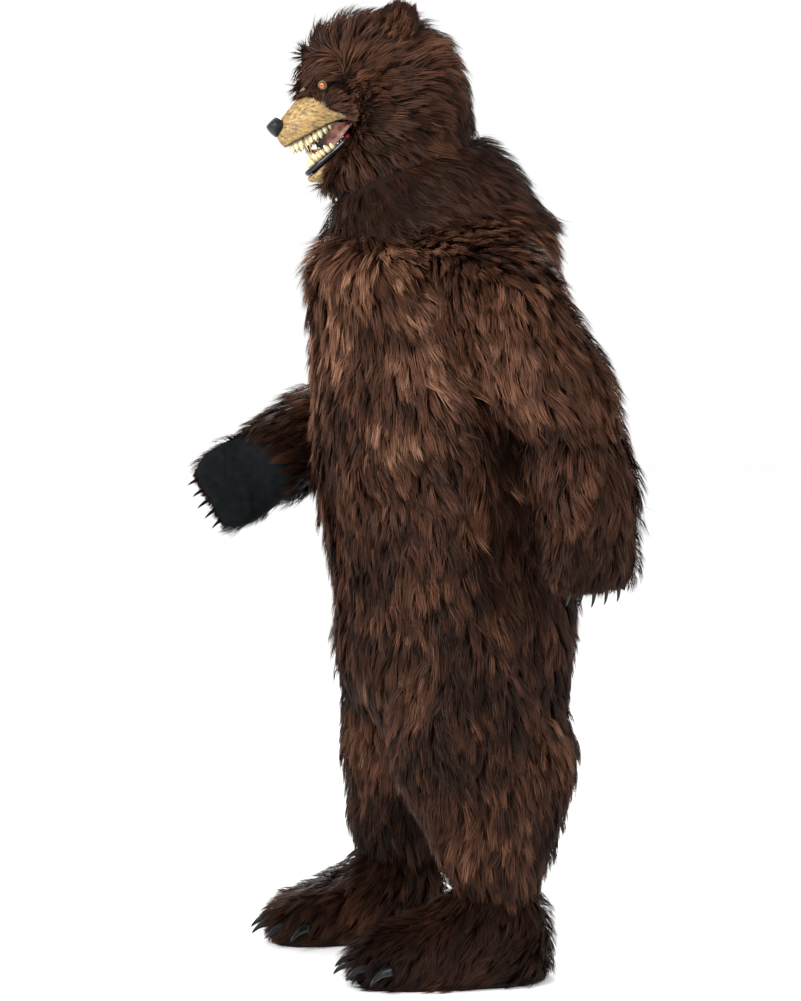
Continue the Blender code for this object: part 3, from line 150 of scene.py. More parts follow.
def from_head(x, y, z):
    """A direction in the head's frame, turned into the frame of the costume."""
    turn = math.radians(HEAD_TURN_DEG)
    return np.array([x * math.cos(turn) - y * math.sin(turn), x * math.sin(turn) + y * math.cos(turn), z])


def place_from_head(x, y, height):
    """A place in the head's frame, as head_places gives it, in the frame of the costume."""
    return from_head(x, y, height) + np.array([0.0, HEAD_PIVOT_Y, FLOOR])


def behind_fur_edge(name, p):
    """How far behind the line where the mask's fur ends each place is, in metres."""
    heights, edge = JAW_FUR_EDGE if name == "muzzle_lower" else SNOUT_FUR_EDGE
    head = head_places(p)
    return head[:, 1] - np.interp(head[:, 2], heights, edge)


# Materials


def new_material(name, roughness, specular=0.5):
    """An empty Principled material, its node tree and its shader."""
    made = bpy.data.materials.new(name)
    made.use_nodes = True
    tree = made.node_tree
    shader = tree.nodes["Principled BSDF"]
    shader.inputs["Roughness"].default_value = roughness
    shader.inputs["Specular IOR Level"].default_value = specular
    return made, tree, shader


def add_node(tree, kind, values=None, links=None, **settings):
    """A node with its settings, its unlinked values and its links, which are (input, socket) pairs."""
    node = tree.nodes.new(kind)
    for key, value in settings.items():
        setattr(node, key, value)
    for key, value in (values or {}).items():
        node.inputs[key].default_value = value
    for key, socket in (links or {}).items():
        tree.links.new(socket, node.inputs[key])
    return node


def ramp(tree, factor, stops):
    """A colour ramp with stops of (position, colour)."""
    node = add_node(tree, "ShaderNodeValToRGB", links={"Fac": factor})
    elements = node.color_ramp.elements
    while len(elements) < len(stops):
        elements.new(1.0)
    for element, (position, colour) in zip(elements, stops):
        element.position = position
        element.color = (*colour, 1.0)
    return node.outputs["Color"]


def noise_of(tree, scale, detail=4.0, roughness=0.55, stretch=(1, 1, 1)):
    """Object-space noise, stretched along an axis where its share of the scale is small."""
    place = add_node(tree, "ShaderNodeTexCoord").outputs["Object"]
    place = add_node(tree, "ShaderNodeMapping", {"Scale": stretch}, {"Vector": place}).outputs["Vector"]
    values = {"Scale": scale, "Detail": detail, "Roughness": roughness}
    return add_node(tree, "ShaderNodeTexNoise", values, {"Vector": place}).outputs["Fac"]


def bump(tree, shader, height, distance, strength=1.0):
    """Roughens a shader's surface by a height."""
    values = {"Strength": strength, "Distance": distance}
    node = add_node(tree, "ShaderNodeBump", values, {"Height": height})
    tree.links.new(node.outputs["Normal"], shader.inputs["Normal"])


def attribute(tree, name):
    """A point attribute of the mesh, as a value."""
    return add_node(tree, "ShaderNodeAttribute", attribute_name=name).outputs["Fac"]


def fur_material():
    """Long pile: dark at the root with painted shade, warmer towards the tip with a painted highlight, each
    lock a little different, and lighter or darker by place with painted light and shade.
    """
    made, tree, shader = new_material("fur", 0.5, 0.09)
    tone = attribute(tree, "tone")
    colour = ramp(tree, tone, [
        (0.00, (0.0060, 0.0023, 0.0013)),
        (0.30, (0.0260, 0.0098, 0.0050)),
        (0.55, (0.0660, 0.0262, 0.0138)),
        (0.78, (0.1380, 0.0600, 0.0340)),
        (1.00, (0.3200, 0.1650, 0.0980)),
    ])
    tree.links.new(colour, shader.inputs["Base Color"])
    return made


def backing_material():
    """The knitted backing that the pile is rooted in, seen only where the fur parts."""
    made, tree, shader = new_material("fur_backing", 0.9, 0.1)
    grain = noise_of(tree, 900.0, 2.0)
    colour = ramp(tree, grain, [(0.3, (0.006, 0.0024, 0.0016)), (0.75, (0.020, 0.0078, 0.0046))])
    tree.links.new(colour, shader.inputs["Base Color"])
    bump(tree, shader, grain, 0.0006)
    return made


def black_material(name, shine, specular, scale, depth):
    """Black rubber or vinyl with fine creases and uneven shine."""
    made, tree, shader = new_material(name, shine, specular)
    creases = noise_of(tree, scale, 6.0, 0.6)
    colour = ramp(tree, creases, [(0.3, (0.0030, 0.0038, 0.0041)), (0.8, (0.0080, 0.0096, 0.0104))])
    tree.links.new(colour, shader.inputs["Base Color"])
    spots = ramp(tree, noise_of(tree, 220.0, 3.0), [(0.2, (shine - 0.06,) * 3), (0.8, (shine + 0.10,) * 3)])
    tree.links.new(spots, shader.inputs["Roughness"])
    bump(tree, shader, creases, depth, 0.6)
    return made


def mixed(tree, share, first, second):
    """The first colour where share is 0 and the second where it is 1."""
    node = add_node(tree, "ShaderNodeMix", data_type="RGBA")
    tree.links.new(share, node.inputs["Factor"])
    for socket, value in ((node.inputs[6], first), (node.inputs[7], second)):
        if isinstance(value, tuple):
            socket.default_value = (*value, 1.0)
        else:
            tree.links.new(value, socket)
    return node.outputs[2]


def multiplied(tree, first, second):
    """One colour times the other."""
    node = add_node(tree, "ShaderNodeMix", data_type="RGBA", blend_type="MULTIPLY")
    node.inputs["Factor"].default_value = 1.0
    tree.links.new(first, node.inputs[6])
    tree.links.new(second, node.inputs[7])
    return node.outputs[2]


def snout_material():
    """Tan latex with short wavy brush strokes moulded in it, black at the lip, dark inside the mouth, and
    dark brown with painted shade where it runs under the fur.
    """
    made, tree, shader = new_material("snout_latex", 0.48, 0.35)
    strokes = noise_of(tree, 165.0, 5.0, 0.62, (1.0, 0.32, 1.25))
    colour = ramp(tree, strokes, [
        (0.36, (0.095, 0.066, 0.034)),
        (0.45, (0.235, 0.150, 0.058)),
        (0.53, (0.345, 0.212, 0.070)),
        (0.62, (0.430, 0.285, 0.110)),
        (0.76, (0.550, 0.400, 0.200)),
    ])
    patches = ramp(tree, noise_of(tree, 38.0, 3.0), [(0.40, (0.80,) * 3), (0.62, (1.0,) * 3)])
    worn = multiplied(tree, colour, patches)
    # Painted shade: the latex goes dark brown where it runs under the fur.
    under = mixed(tree, attribute(tree, "under"), worn, (0.012, 0.0052, 0.0034))
    inside = mixed(tree, attribute(tree, "inside"), under, (0.014, 0.0045, 0.0042))
    edged = mixed(tree, attribute(tree, "rim"), inside, (0.0045, 0.0042, 0.0042))
    tree.links.new(edged, shader.inputs["Base Color"])
    bump(tree, shader, strokes, 0.0022, 0.8)
    return made


def tooth_material():
    """Cream enamel, browner at the gum."""
    made, tree, shader = new_material("tooth_enamel", 0.32, 0.5)
    streaks = noise_of(tree, 260.0, 4.0, 0.6, (1.0, 1.0, 0.3))
    enamel = ramp(tree, streaks, [(0.35, (0.50, 0.42, 0.215)), (0.60, (0.70, 0.64, 0.40))])
    colour = mixed(tree, attribute(tree, "root"), enamel, (0.20, 0.140, 0.055))
    tree.links.new(colour, shader.inputs["Base Color"])
    bump(tree, shader, streaks, 0.0005, 0.5)
    return made


def gum_material():
    """Wet red gums, mottled towards black."""
    made, tree, shader = new_material("gum", 0.25, 0.5)
    spots = noise_of(tree, 90.0, 4.0)
    colour = ramp(tree, spots, [
        (0.38, (0.010, 0.004, 0.004)),
        (0.50, (0.115, 0.012, 0.012)),
        (0.70, (0.30, 0.036, 0.032)),
    ])
    tree.links.new(colour, shader.inputs["Base Color"])
    bump(tree, shader, spots, 0.0008, 0.6)
    return made


def cheek_material():
    """Pinkish brown latex, redder in patches, with painted shade darkening it deeper in the mouth."""
    made, tree, shader = new_material("cheek_latex", 0.4, 0.3)
    patches = noise_of(tree, 70.0, 4.0)
    colour = ramp(tree, patches, [
        (0.35, (0.055, 0.013, 0.010)),
        (0.52, (0.150, 0.055, 0.034)),
        (0.72, (0.270, 0.120, 0.072)),
    ])
    # Painted shade: darker deeper in the mouth, away from its corner.
    colour = mixed(tree, attribute(tree, "deep"), colour, (0.016, 0.0035, 0.0032))
    tree.links.new(colour, shader.inputs["Base Color"])
    bump(tree, shader, patches, 0.0010, 0.6)
    return made


def eye_material():
    """Orange iris under a gloss coat, in a dark ring and a tan lid."""
    made, tree, shader = new_material("eye_amber", 0.08, 0.6)
    around = attribute(tree, "around")
    colour = ramp(tree, around, [
        (0.10, (0.030, 0.006, 0.003)),
        (0.20, (0.420, 0.085, 0.015)),
        (0.42, (0.520, 0.160, 0.040)),
        (0.52, (0.020, 0.009, 0.005)),
        (0.62, (0.030, 0.014, 0.007)),
        (0.70, (0.240, 0.150, 0.055)),
        (0.84, (0.150, 0.085, 0.032)),
        (1.00, (0.010, 0.006, 0.004)),
    ])
    rays = ramp(tree, noise_of(tree, 700.0, 3.0), [(0.3, (0.72,) * 3), (0.7, (1.0,) * 3)])
    tree.links.new(multiplied(tree, colour, rays), shader.inputs["Base Color"])
    return made


def tape_material():
    """Dark woven zip tape."""
    made, tree, shader = new_material("zip_tape", 0.75, 0.2)
    weave = add_node(tree, "ShaderNodeTexWave", {"Scale": 420.0, "Distortion": 1.2, "Detail": 2.0})
    tree.links.new(add_node(tree, "ShaderNodeTexCoord").outputs["Object"], weave.inputs["Vector"])
    colour = ramp(tree, weave.outputs["Fac"], [(0.2, (0.012, 0.007, 0.006)), (0.8, (0.034, 0.021, 0.018))])
    tree.links.new(colour, shader.inputs["Base Color"])
    bump(tree, shader, weave.outputs["Fac"], 0.0004)
    return made


MATERIALS = {
    "fur": fur_material(),
    "backing": backing_material(),
    "palm": black_material("palm_vinyl", 0.60, 0.03, 60.0, 0.0010),
    "sole": black_material("sole_rubber", 0.70, 0.10, 60.0, 0.0012),
    "claw": black_material("claw_gloss", 0.18, 0.22, 40.0, 0.0006),
    "nose": black_material("nose_leather", 0.34, 0.28, 420.0, 0.0016),
    "lip": black_material("lip_gloss", 0.16, 0.38, 70.0, 0.0008),
    "snout": snout_material(),
    "tooth": tooth_material(),
    "gum": gum_material(),
    "cheek": cheek_material(),
    "eye": eye_material(),
    "zip": tape_material(),
}


# The skin of the frame


def frame_triangles():
    """All CAD triangles, welded by place, with the node that each belongs to."""
    corners, owners = [], []
    for name, node in NODES.items():
        mesh = node.data
        mesh.calc_loop_triangles()
        place = np.empty(len(mesh.vertices) * 3)
        mesh.vertices.foreach_get("co", place)
        turn, shift = node.matrix_world.to_3x3(), node.matrix_world.translation
        place = place.reshape(-1, 3) @ np.array(turn).T + np.array(shift)
        index = np.empty(len(mesh.loop_triangles) * 3, dtype=int)
        mesh.loop_triangles.foreach_get("vertices", index)
        corners.append(place[index.reshape(-1, 3)])
        owners += [name] * len(corners[-1])
    corners = np.concatenate(corners)
    rounded = np.round(corners.reshape(-1, 3), 5)
    _, first, same = np.unique(rounded, axis=0, return_index=True, return_inverse=True)
    points = corners.reshape(-1, 3)[first]
    return points, same.reshape(-1, 3), np.array(owners)


POINTS, TRIANGLES, OWNERS = frame_triangles()
TREE = BVHTree.FromPolygons(POINTS.tolist(), TRIANGLES.tolist())


def points_of(kind):
    """The corners of the nodes whose names hold a word."""
    return POINTS[np.unique(TRIANGLES[np.char.find(OWNERS.astype(str), kind) >= 0])]


HAND_CLAWS = points_of("hand_claw")
FOOT_CLAWS = points_of("foot_claw")
EYES = points_of("eye_")


def open_share(places, normals, rays=32, reach=3.0):
    """For each place just off a face, the share of the rays over it that leave the costume."""
    rng = np.random.default_rng(SEED)
    directions = unit(rng.normal(size=(rays, 3)))
    shares = np.zeros(len(places))
    for i, (place, normal) in enumerate(zip(places, normals)):
        start = Vector(place + normal * 0.0008)
        turned = directions * np.sign(directions @ normal)[:, None]
        shares[i] = sum(TREE.ray_cast(start, Vector(d), reach)[0] is None for d in turned) / rays
    return shares


class Skin:
    """The outer face of one CAD node: its triangles, smooth corner normals and depth to the wall's inside.

    Where a wall's rim is rounded, its inner face is taken in as well.
    """

    def __init__(self, name):
        self.name = name
        mine = OWNERS == name
        triangles = TRIANGLES[mine]
        a, b, c = (POINTS[triangles[:, i]] for i in range(3))
        cross = np.cross(b - a, c - a)
        size = np.linalg.norm(cross, axis=1)
        keep = size > 1e-9
        triangles, cross, size = triangles[keep], cross[keep], size[keep]
        facing = cross / size[:, None]
        middle = POINTS[triangles].mean(axis=1)
        share = open_share(middle, facing)
        outer = self.spread(triangles, facing, share > CLEARLY_SEEN)
        used, index = np.unique(triangles[outer], return_inverse=True)
        self.triangles = index.reshape(-1, 3)
        self.points = POINTS[used]
        self.share = share[outer]
        self.areas = size[outer] / 2
        normals = np.zeros_like(self.points)
        for i in range(3):
            np.add.at(normals, self.triangles[:, i], cross[outer])
        self.normals = unit(normals)
        self.depth = np.array([self.wall(p, n) for p, n in zip(self.points, self.normals)])

    @staticmethod
    def spread(triangles, facing, seen):
        """Adds hidden faces that carry on smoothly from the seen ones, also round a soft rim."""
        edges = {}
        for t, corners in enumerate(triangles):
            for i in range(3):
                edges.setdefault(tuple(sorted((corners[i], corners[i - 1]))), []).append(t)
        near = [[] for _ in triangles]
        for pair in edges.values():
            if len(pair) == 2 and facing[pair[0]] @ facing[pair[1]] > math.cos(math.radians(SMOOTH_TURN_DEG)):
                near[pair[0]].append(pair[1])
                near[pair[1]].append(pair[0])
        chosen = seen.copy()
        queue = list(np.flatnonzero(seen))
        while queue:
            for other in near[queue.pop()]:
                if not chosen[other]:
                    chosen[other] = True
                    queue.append(other)
        return chosen

    @staticmethod
    def wall(point, normal):
        """How far it is through the wall, straight in."""
        hit = TREE.ray_cast(Vector(point - normal * 0.0005), Vector(-normal), 0.06)
        return 0.01 if hit[0] is None else hit[3] + 0.0005


def cloth(skin, depth):
    """A thin backing shell that keeps to the node's form, under the pile."""
    inward = np.clip(np.minimum(skin.depth - CLOTH_THICKNESS, depth), 0.0005, depth)
    mesh = bpy.data.meshes.new(f"cloth_{skin.name}")
    mesh.from_pydata((skin.points - skin.normals * inward[:, None]).tolist(), [], skin.triangles.tolist())
    mesh.shade_smooth()
    made = bpy.data.objects.new(mesh.name, mesh)
    bpy.context.scene.collection.objects.link(made)
    mesh.materials.append(MATERIALS["backing"])
    solid = made.modifiers.new("thickness", "SOLIDIFY")
    solid.thickness = CLOTH_THICKNESS
    solid.offset = -1
    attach(made, "root")
    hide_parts(skin.name)
    return made


# The comb: which way the pile lies at a place


def comb_body(p):
    """Down, and back a little over the sides."""
    back = 0.42 * smooth(p[:, 2], -0.95, -0.05) + 0.06
    side = smooth(np.abs(p[:, 0]), 0.04, 0.20)
    return np.stack([np.zeros(len(p)), back * side, -np.ones(len(p))], axis=1)


def comb_along(route):
    """A comb that runs along a limb's route."""
    route = np.array(route)

    def comb(p):
        middles = (route[1:] + route[:-1]) / 2
        along = unit(route[1:] - route[:-1])
        away = np.linalg.norm(p[:, None] - middles[None], axis=2)
        weight = 1.0 / np.maximum(away, 0.02) ** 4
        return unit((weight[:, :, None] * along[None]).sum(axis=1))

    return comb


def comb_head(p):
    """Back from the snout, down the back of the head, and forward over the brow."""
    away = unit(p - np.array(MUZZLE))
    fall = smooth(p[:, 1], -0.02, 0.10)[:, None] * 1.4 + 0.15
    head = head_places(p)
    brow = smooth(-head[:, 1], 0.130, 0.175) * smooth(head[:, 2], 1.675, 1.700)
    low = brow * (1 - smooth(head[:, 2], 1.73, 1.79))
    forward = np.array([0.0, -1.5, -1.1])
    return (away + fall * np.array([0.0, 0.10, -1.0])) * (1 - low[:, None]) + forward * low[:, None]


def comb_cowl(p):
    """Back and down over the shoulders."""
    out = unit(p * np.array([1.0, 1.0, 0.0]))
    return out * 0.35 + np.array([0.0, 0.75, -0.55])


def comb_ear(p):
    """Up and out from the ear's root."""
    side = np.sign(p[:, :1])
    return np.concatenate([side * 0.35, np.full((len(p), 1), 0.30), np.ones((len(p), 1))], axis=1)


def comb_boot(p):
    """Down the ankle, then forward and out over the foot."""
    low = 1 - smooth(p[:, 2], FLOOR + 0.10, FLOOR + 0.22)
    side = np.sign(p[:, 0]) * 0.19
    out = np.stack([(p[:, 0] - side) * 5.0, np.full(len(p), -0.9), np.zeros(len(p))], axis=1)
    return out * low[:, None] + np.array([0.0, 0.0, -0.8])


SLEEVE_ROUTE = {
    "left": ((0.05, 0.04, 0.04), (0.20, 0.05, -0.03), (0.36, 0.08, -0.22), (0.395, 0.150, -0.36),
             (0.411, 0.184, -0.52), (0.412, 0.186, -0.75)),
    "right": ((-0.05, 0.02, 0.04), (-0.20, 0.03, -0.03), (-0.37, 0.03, -0.27), (-0.37, -0.07, -0.375),
              (-0.312, -0.228, -0.457), (-0.30, -0.42, -0.56)),
}

# Fur regions: the comb, the strand's length and how far its tip lifts off, in metres, and its share of the
# full tone, which is painted shade: lower on the pieces that lie more in shade, lowest on the cowl under the
# head and the left boot
REGIONS = {
    "body_front_left": (comb_body, 0.056, 0.018, 1.00),
    "body_front_right": (comb_body, 0.056, 0.018, 1.00),
    "body_back_left": (comb_body, 0.056, 0.018, 0.95),
    "body_back_right": (comb_body, 0.056, 0.018, 0.95),
    "sleeve_left": (comb_along(SLEEVE_ROUTE["left"]), 0.054, 0.020, 0.85),
    "sleeve_right": (comb_along(SLEEVE_ROUTE["right"]), 0.052, 0.018, 0.85),
    "hood_left": (comb_head, 0.046, 0.017, 0.76),
    "hood_right": (comb_head, 0.046, 0.017, 0.76),
    "neck_cowl": (comb_cowl, 0.056, 0.018, 0.52),
    "ear_left": (comb_ear, 0.018, 0.008, 0.78),
    "ear_right": (comb_ear, 0.018, 0.008, 0.78),
    "mitt_back_left": (comb_along(SLEEVE_ROUTE["left"]), 0.044, 0.019, 0.85),
    "mitt_back_right": (comb_along(SLEEVE_ROUTE["right"]), 0.040, 0.018, 0.85),
    "boot_left": (comb_boot, 0.050, 0.018, 0.48),
    "boot_right": (comb_boot, 0.050, 0.018, 0.88),
    "muzzle_upper": (comb_head, 0.056, 0.014, 0.85),
    "muzzle_lower": (comb_head, 0.050, 0.014, 0.85),
}


def turbulence(points, scale, seed):
    """A smooth random value at each point, about -1 to 1."""
    shift = Vector((seed * 7.3, seed * 3.1, seed * 5.7))
    return np.array([noise.noise(Vector(p) * scale + shift) for p in points.tolist()])


def scattered(skin, rng):
    """Roots, normals and pile depths, spread over the skin that can be seen."""
    seen = skin.share > BARELY_SEEN
    areas = skin.areas * seen
    density = STRANDS_PER_M2 * (MUZZLE_DENSITY if skin.name.startswith("muzzle") else 1)
    count = min(STRAND_LIMIT, int(areas.sum() * density))
    pick = rng.choice(len(areas), size=count, p=areas / areas.sum())
    first, second = rng.random(count), rng.random(count)
    over = first + second > 1
    first[over], second[over] = 1 - first[over], 1 - second[over]
    shares = np.stack([1 - first - second, first, second], axis=1)[:, :, None]
    corners = skin.triangles[pick]
    place = (skin.points[corners] * shares).sum(axis=1)
    normal = unit((skin.normals[corners] * shares).sum(axis=1))
    depth = (skin.depth[corners][:, :, None] * shares).sum(axis=1)[:, 0]
    deep = np.clip(np.minimum(depth - CLOTH_THICKNESS, SKIN_DEPTH), 0.0005, SKIN_DEPTH)
    if skin.name.startswith("muzzle"):
        furred = behind_fur_edge(skin.name, place) > rng.normal(0, 0.0012, count)
        return place[furred], normal[furred], deep[furred], skin.share[pick][furred]
    return place, normal, deep, skin.share[pick]


def clumped(place, rng):
    """For each root, the number of its clump, and the clumps' own middles."""
    total = max(8, len(place) // STRANDS_PER_CLUMP)
    middles = place[rng.choice(len(place), size=total, replace=False)]
    finder = KDTree(total)
    for i, middle in enumerate(middles.tolist()):
        finder.insert(middle, i)
    finder.balance()
    return np.array([finder.find(p)[1] for p in place.tolist()]), middles


def nearness(place, points, near, far):
    """Eased 0 to 1 from near to far off the nearest of the points."""
    finder = KDTree(len(points))
    for i, point in enumerate(points.tolist()):
        finder.insert(point, i)
    finder.balance()
    return smooth([finder.find(p)[2] for p in place.tolist()], near, far)


def shortened(place):
    """The share of its full length that the pile has: clipped round the face, the eyes and the claws."""
    share = 0.50 + 0.50 * smooth(np.linalg.norm(place - np.array(MUZZLE), axis=1), 0.08, 0.17)
    share = np.maximum(share, 0.95 * smooth(place[:, 2] - FLOOR, 1.690, 1.705))
    for points, least, far in ((HAND_CLAWS, 0.28, 0.042), (FOOT_CLAWS, 0.75, 0.030), (EYES, 0.25, 0.018)):
        share = np.minimum(share, least + (1 - least) * nearness(place, points, 0.004, far))
    return share


def painted_light_and_shade(place):
    """Painted light and shade in the pile's tone: lighter on the chest and the back of the head, where the
    light falls, and darker low down, where shade falls.
    """
    chest = smooth(place[:, 2], -0.50, -0.12) * (1 - smooth(place[:, 2], -0.02, 0.06))
    belly = 1 - smooth(place[:, 2], -0.50, -0.25)
    crown = smooth(place[:, 1], 0.02, 0.12) * smooth(place[:, 2], 0.22, 0.30)
    return 0.13 * chest - 0.19 * belly + 0.20 * crown


def fur(name, skin, style, seed):
    """The pile of one node as one mesh of tapered strands, combed and clumped."""
    comb, length, lift, full = style
    rng = np.random.default_rng(SEED * 1000 + seed)
    place, normal, depth, share = scattered(skin, rng)
    if name.startswith("fur_mitt"):
        depth = depth * MITT_DEPTH_SHARE
    clump, middles = clumped(place, rng)
    total, clumps = len(place), len(middles)

    along = comb(place)
    along = unit(along - (along * normal).sum(axis=1, keepdims=True) * normal)
    across = np.cross(normal, along)
    swirl = 0.55 * turbulence(middles, 9.0, 1) + 0.50 * turbulence(middles, 26.0, 2)
    swirl = (swirl + rng.normal(0, 0.16, clumps))[clump] + rng.normal(0, 0.10, total)
    along = along * np.cos(swirl)[:, None] + across * np.sin(swirl)[:, None]
    across = np.cross(normal, along)

    wave = turbulence(middles, 14.0, 3)
    clump_length = 1.0 + 0.22 * wave + rng.normal(0, 0.10, clumps)
    clump_lift = 1.0 + 0.55 * turbulence(middles, 20.0, 4) + rng.normal(0, 0.25, clumps)
    shorter = shortened(place)
    reach = length * clump_length[clump] * rng.uniform(0.66, 1.12, total) * shorter
    rise = lift * np.clip(clump_lift[clump], 0.25, 1.9) + rng.normal(0, 0.0020, total)
    rise = rise * (0.2 + 0.8 * shorter)

    root = place - normal * depth[:, None]
    tip = root + along * reach[:, None] + normal * rise[:, None]
    gathered = np.zeros((clumps, 3))
    np.add.at(gathered, clump, tip)
    gathered /= np.maximum(np.bincount(clump, minlength=clumps), 1)[:, None]
    pull = rng.uniform(0.15, 0.68, total)[:, None]
    tip = tip * (1 - pull) + gathered[clump] * pull
    middle = root + (tip - root) * 0.42 + normal * (0.30 * rise[:, None])

    roll = rng.normal(0, 0.40, total)[:, None]
    wide = unit(across * np.cos(roll) + normal * np.sin(roll))
    width = STRAND_WIDTH * rng.uniform(0.6, 1.35, total)[:, None] / 2
    rows = np.stack([root - wide * width, root + wide * width, middle + wide * width * 0.85,
                     middle - wide * width * 0.85, tip], axis=1)
    rows[:, :, 2] = np.maximum(rows[:, :, 2], FLOOR + 0.0008)

    # Tone by place, which is painted light and shade, then tone that differs at random from lock to lock.
    base = 0.47 + painted_light_and_shade(middles) + 0.30 * turbulence(middles, 6.0, 5)
    base += 0.26 * turbulence(middles, 15.0, 6) + 0.24 * turbulence(middles, 40.0, 8)
    tone = (base + rng.normal(0, 0.11, clumps))[clump] + rng.normal(0, 0.05, total)
    # Painted shade: the pile darkens where little open air is seen over it, in creases, under the arms and at
    # the neck.
    tone -= 0.20 * (1 - np.clip(share / 0.55, 0.0, 1.0))
    light = rng.random(total) < LIGHT_STRANDS
    tone[light] += 0.16
    # Along each strand: painted shade darkens the root, deep in the pile, and a painted highlight lightens
    # the tip.
    tones = np.stack([tone - 0.28, tone - 0.28, tone - 0.02, tone - 0.02, tone + 0.17], axis=1)
    # Each piece's share of the full tone darkens it with painted shade.
    return strand_mesh(name, rows, np.clip(tones, 0.03, 1.0) * full)


def strand_mesh(name, rows, tones):
    """A mesh with a quad and a triangle for each strand, its tones and a bake map with a cell for each."""
    total = len(rows)
    base = np.arange(total)[:, None] * 5
    quads = base + np.array([0, 1, 2, 3])
    ends = base + np.array([3, 2, 4])
    loops = np.concatenate([quads, ends], axis=1).ravel()
    starts = (np.arange(total)[:, None] * 7 + np.array([0, 4])).ravel()
    mesh = bpy.data.meshes.new(name)
    mesh.vertices.add(total * 5)
    mesh.vertices.foreach_set("co", rows.ravel())
    mesh.loops.add(len(loops))
    mesh.loops.foreach_set("vertex_index", loops)
    mesh.polygons.add(total * 2)
    mesh.polygons.foreach_set("loop_start", starts)
    mesh.update(calc_edges=True)
    mesh.validate()
    mesh.attributes.new("tone", "FLOAT", "POINT").data.foreach_set("value", tones.ravel())
    cells = math.ceil(math.sqrt(total))
    corner = np.stack([np.arange(total) % cells, np.arange(total) // cells], axis=1)
    shape = np.array([(0.1, 0.05), (0.9, 0.05), (0.9, 0.5), (0.1, 0.5), (0.5, 0.95)])
    places = (corner[:, None, :] + shape[[0, 1, 2, 3, 3, 2, 4]][None]) / cells
    mesh.uv_layers.new(name="OFBake").data.foreach_set("uv", places.ravel())
    mesh.shade_smooth()
    mesh.materials.append(MATERIALS["fur"])
    made = bpy.data.objects.new(name, mesh)
    bpy.context.scene.collection.objects.link(made)
    return made


def dress(name, seed):
    """Backing and pile for one fur node, or pile alone where fur covers the latex."""
    skin = Skin(name)
    pile = fur(f"fur_{name}", skin, REGIONS[name], seed)
    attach(pile, "root")
    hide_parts(name)
    if name in CUTS:
        shell = cloth(skin, SKIN_DEPTH)


for seed, name in enumerate(REGIONS):
    dress(name, seed)


# Latex, teeth, claws and soles


def refined(name, levels, material, sharp=180.0):
    """A rounder copy of a CAD node in its form, its points and normals. Edges past sharp degrees stay."""
    triangles = TRIANGLES[OWNERS == name]
    used, index = np.unique(triangles, return_inverse=True)
    mesh = bpy.data.meshes.new(f"{name}_fine")
    bm = bmesh.new()
    corners = [bm.verts.new(p) for p in POINTS[used]]
    for triangle in index.reshape(-1, 3):
        if len(set(triangle)) == 3:
            bm.faces.new([corners[i] for i in triangle])
    flat, shape = math.radians(40), math.radians(60)
    bmesh.ops.join_triangles(bm, faces=bm.faces, angle_face_threshold=flat, angle_shape_threshold=shape)
    crease = bm.edges.layers.float.new("crease_edge")
    for edge in bm.edges:
        if len(edge.link_faces) == 2 and edge.calc_face_angle(0.0) > math.radians(sharp):
            edge[crease] = 0.8
    bm.to_mesh(mesh)
    bm.free()
    rough = bpy.data.objects.new(mesh.name, mesh)
    bpy.context.scene.collection.objects.link(rough)
    rounder = rough.modifiers.new("rounder", "SUBSURF")
    rounder.levels = levels
    rounder.render_levels = levels
    given = np.array([v.co[:] for v in mesh.vertices])
    for _ in range(2):
        bpy.context.view_layer.update()
        fine = bpy.data.meshes.new_from_object(rough.evaluated_get(bpy.context.evaluated_depsgraph_get()))
        kept = np.array([v.co[:] for v in fine.vertices[:len(given)]])
        drawn = np.array([v.co[:] for v in mesh.vertices]) + 0.85 * (given - kept)
        mesh.vertices.foreach_set("co", drawn.ravel())
        mesh.update()
    bpy.context.view_layer.update()
    fine = bpy.data.meshes.new_from_object(rough.evaluated_get(bpy.context.evaluated_depsgraph_get()))
    rough.modifiers.clear()
    rough.data = fine
    bpy.data.meshes.remove(mesh)
    fine.name = rough.name
    fine.shade_smooth()
    fine.materials.clear()
    fine.materials.append(material)
    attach(rough, "root")
    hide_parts(name)
    places = np.array([v.co[:] for v in fine.vertices])
    normals = np.array([v.normal[:] for v in fine.vertices])
    return rough, places, normals


def set_attribute(mesh, name, values):
    made = mesh.attributes.new(name, "FLOAT", "POINT")
    made.data.foreach_set("value", np.asarray(values, dtype=np.float32))


def latex(name):
    """The snout or the jaw, marked where it is inside the mouth, at the lip and under the fur, where painted
    shade darkens it.
    """
    piece, places, normals = refined(name, 2, MATERIALS["snout"], 48.0)
    head = head_places(places)
    inner = (normals * (places - place_from_head(*MOUTH))).sum(axis=1) < 0
    edges = np.array([e.vertices[:] for e in piece.data.edges])
    crossing = np.unique(edges[inner[edges[:, 0]] != inner[edges[:, 1]]])
    lips = crossing[head[crossing, 1] < -0.145]
    rim = 1 - nearness(places, places[lips], 0.0012, 0.0038)
    set_attribute(piece.data, "inside", inner)
    set_attribute(piece.data, "rim", rim)
    # Painted shade under the fur, growing over 8 mm behind the line where the fur ends.
    set_attribute(piece.data, "under", smooth(behind_fur_edge(name, places), 0.0, 0.008))


def palm(name):
    """The smooth vinyl palm, with soft creases across it."""
    side = name.split("_")[1]
    piece, places, _ = refined(name, 2, MATERIALS["palm"], 60.0)
    middle = places.mean(axis=0)
    claws = points_of(f"hand_claw_{side}").mean(axis=0)
    along = unit(claws - middle)
    facing = Skin(name).normals.mean(axis=0)
    facing = unit(facing - (facing @ along) * along)
    across = np.cross(facing, along)
    reach, wide = (places - middle) @ along, (places - middle) @ across
    drop = np.zeros(len(places))
    for start, slant, bow, depth, half in PALM_CREASES:
        gap = reach - start - slant * wide - bow * wide ** 2
        drop += depth * np.exp(-(gap / half) ** 2)
    moved = places - facing * drop[:, None]
    piece.data.vertices.foreach_set("co", moved.ravel())
    piece.data.update()


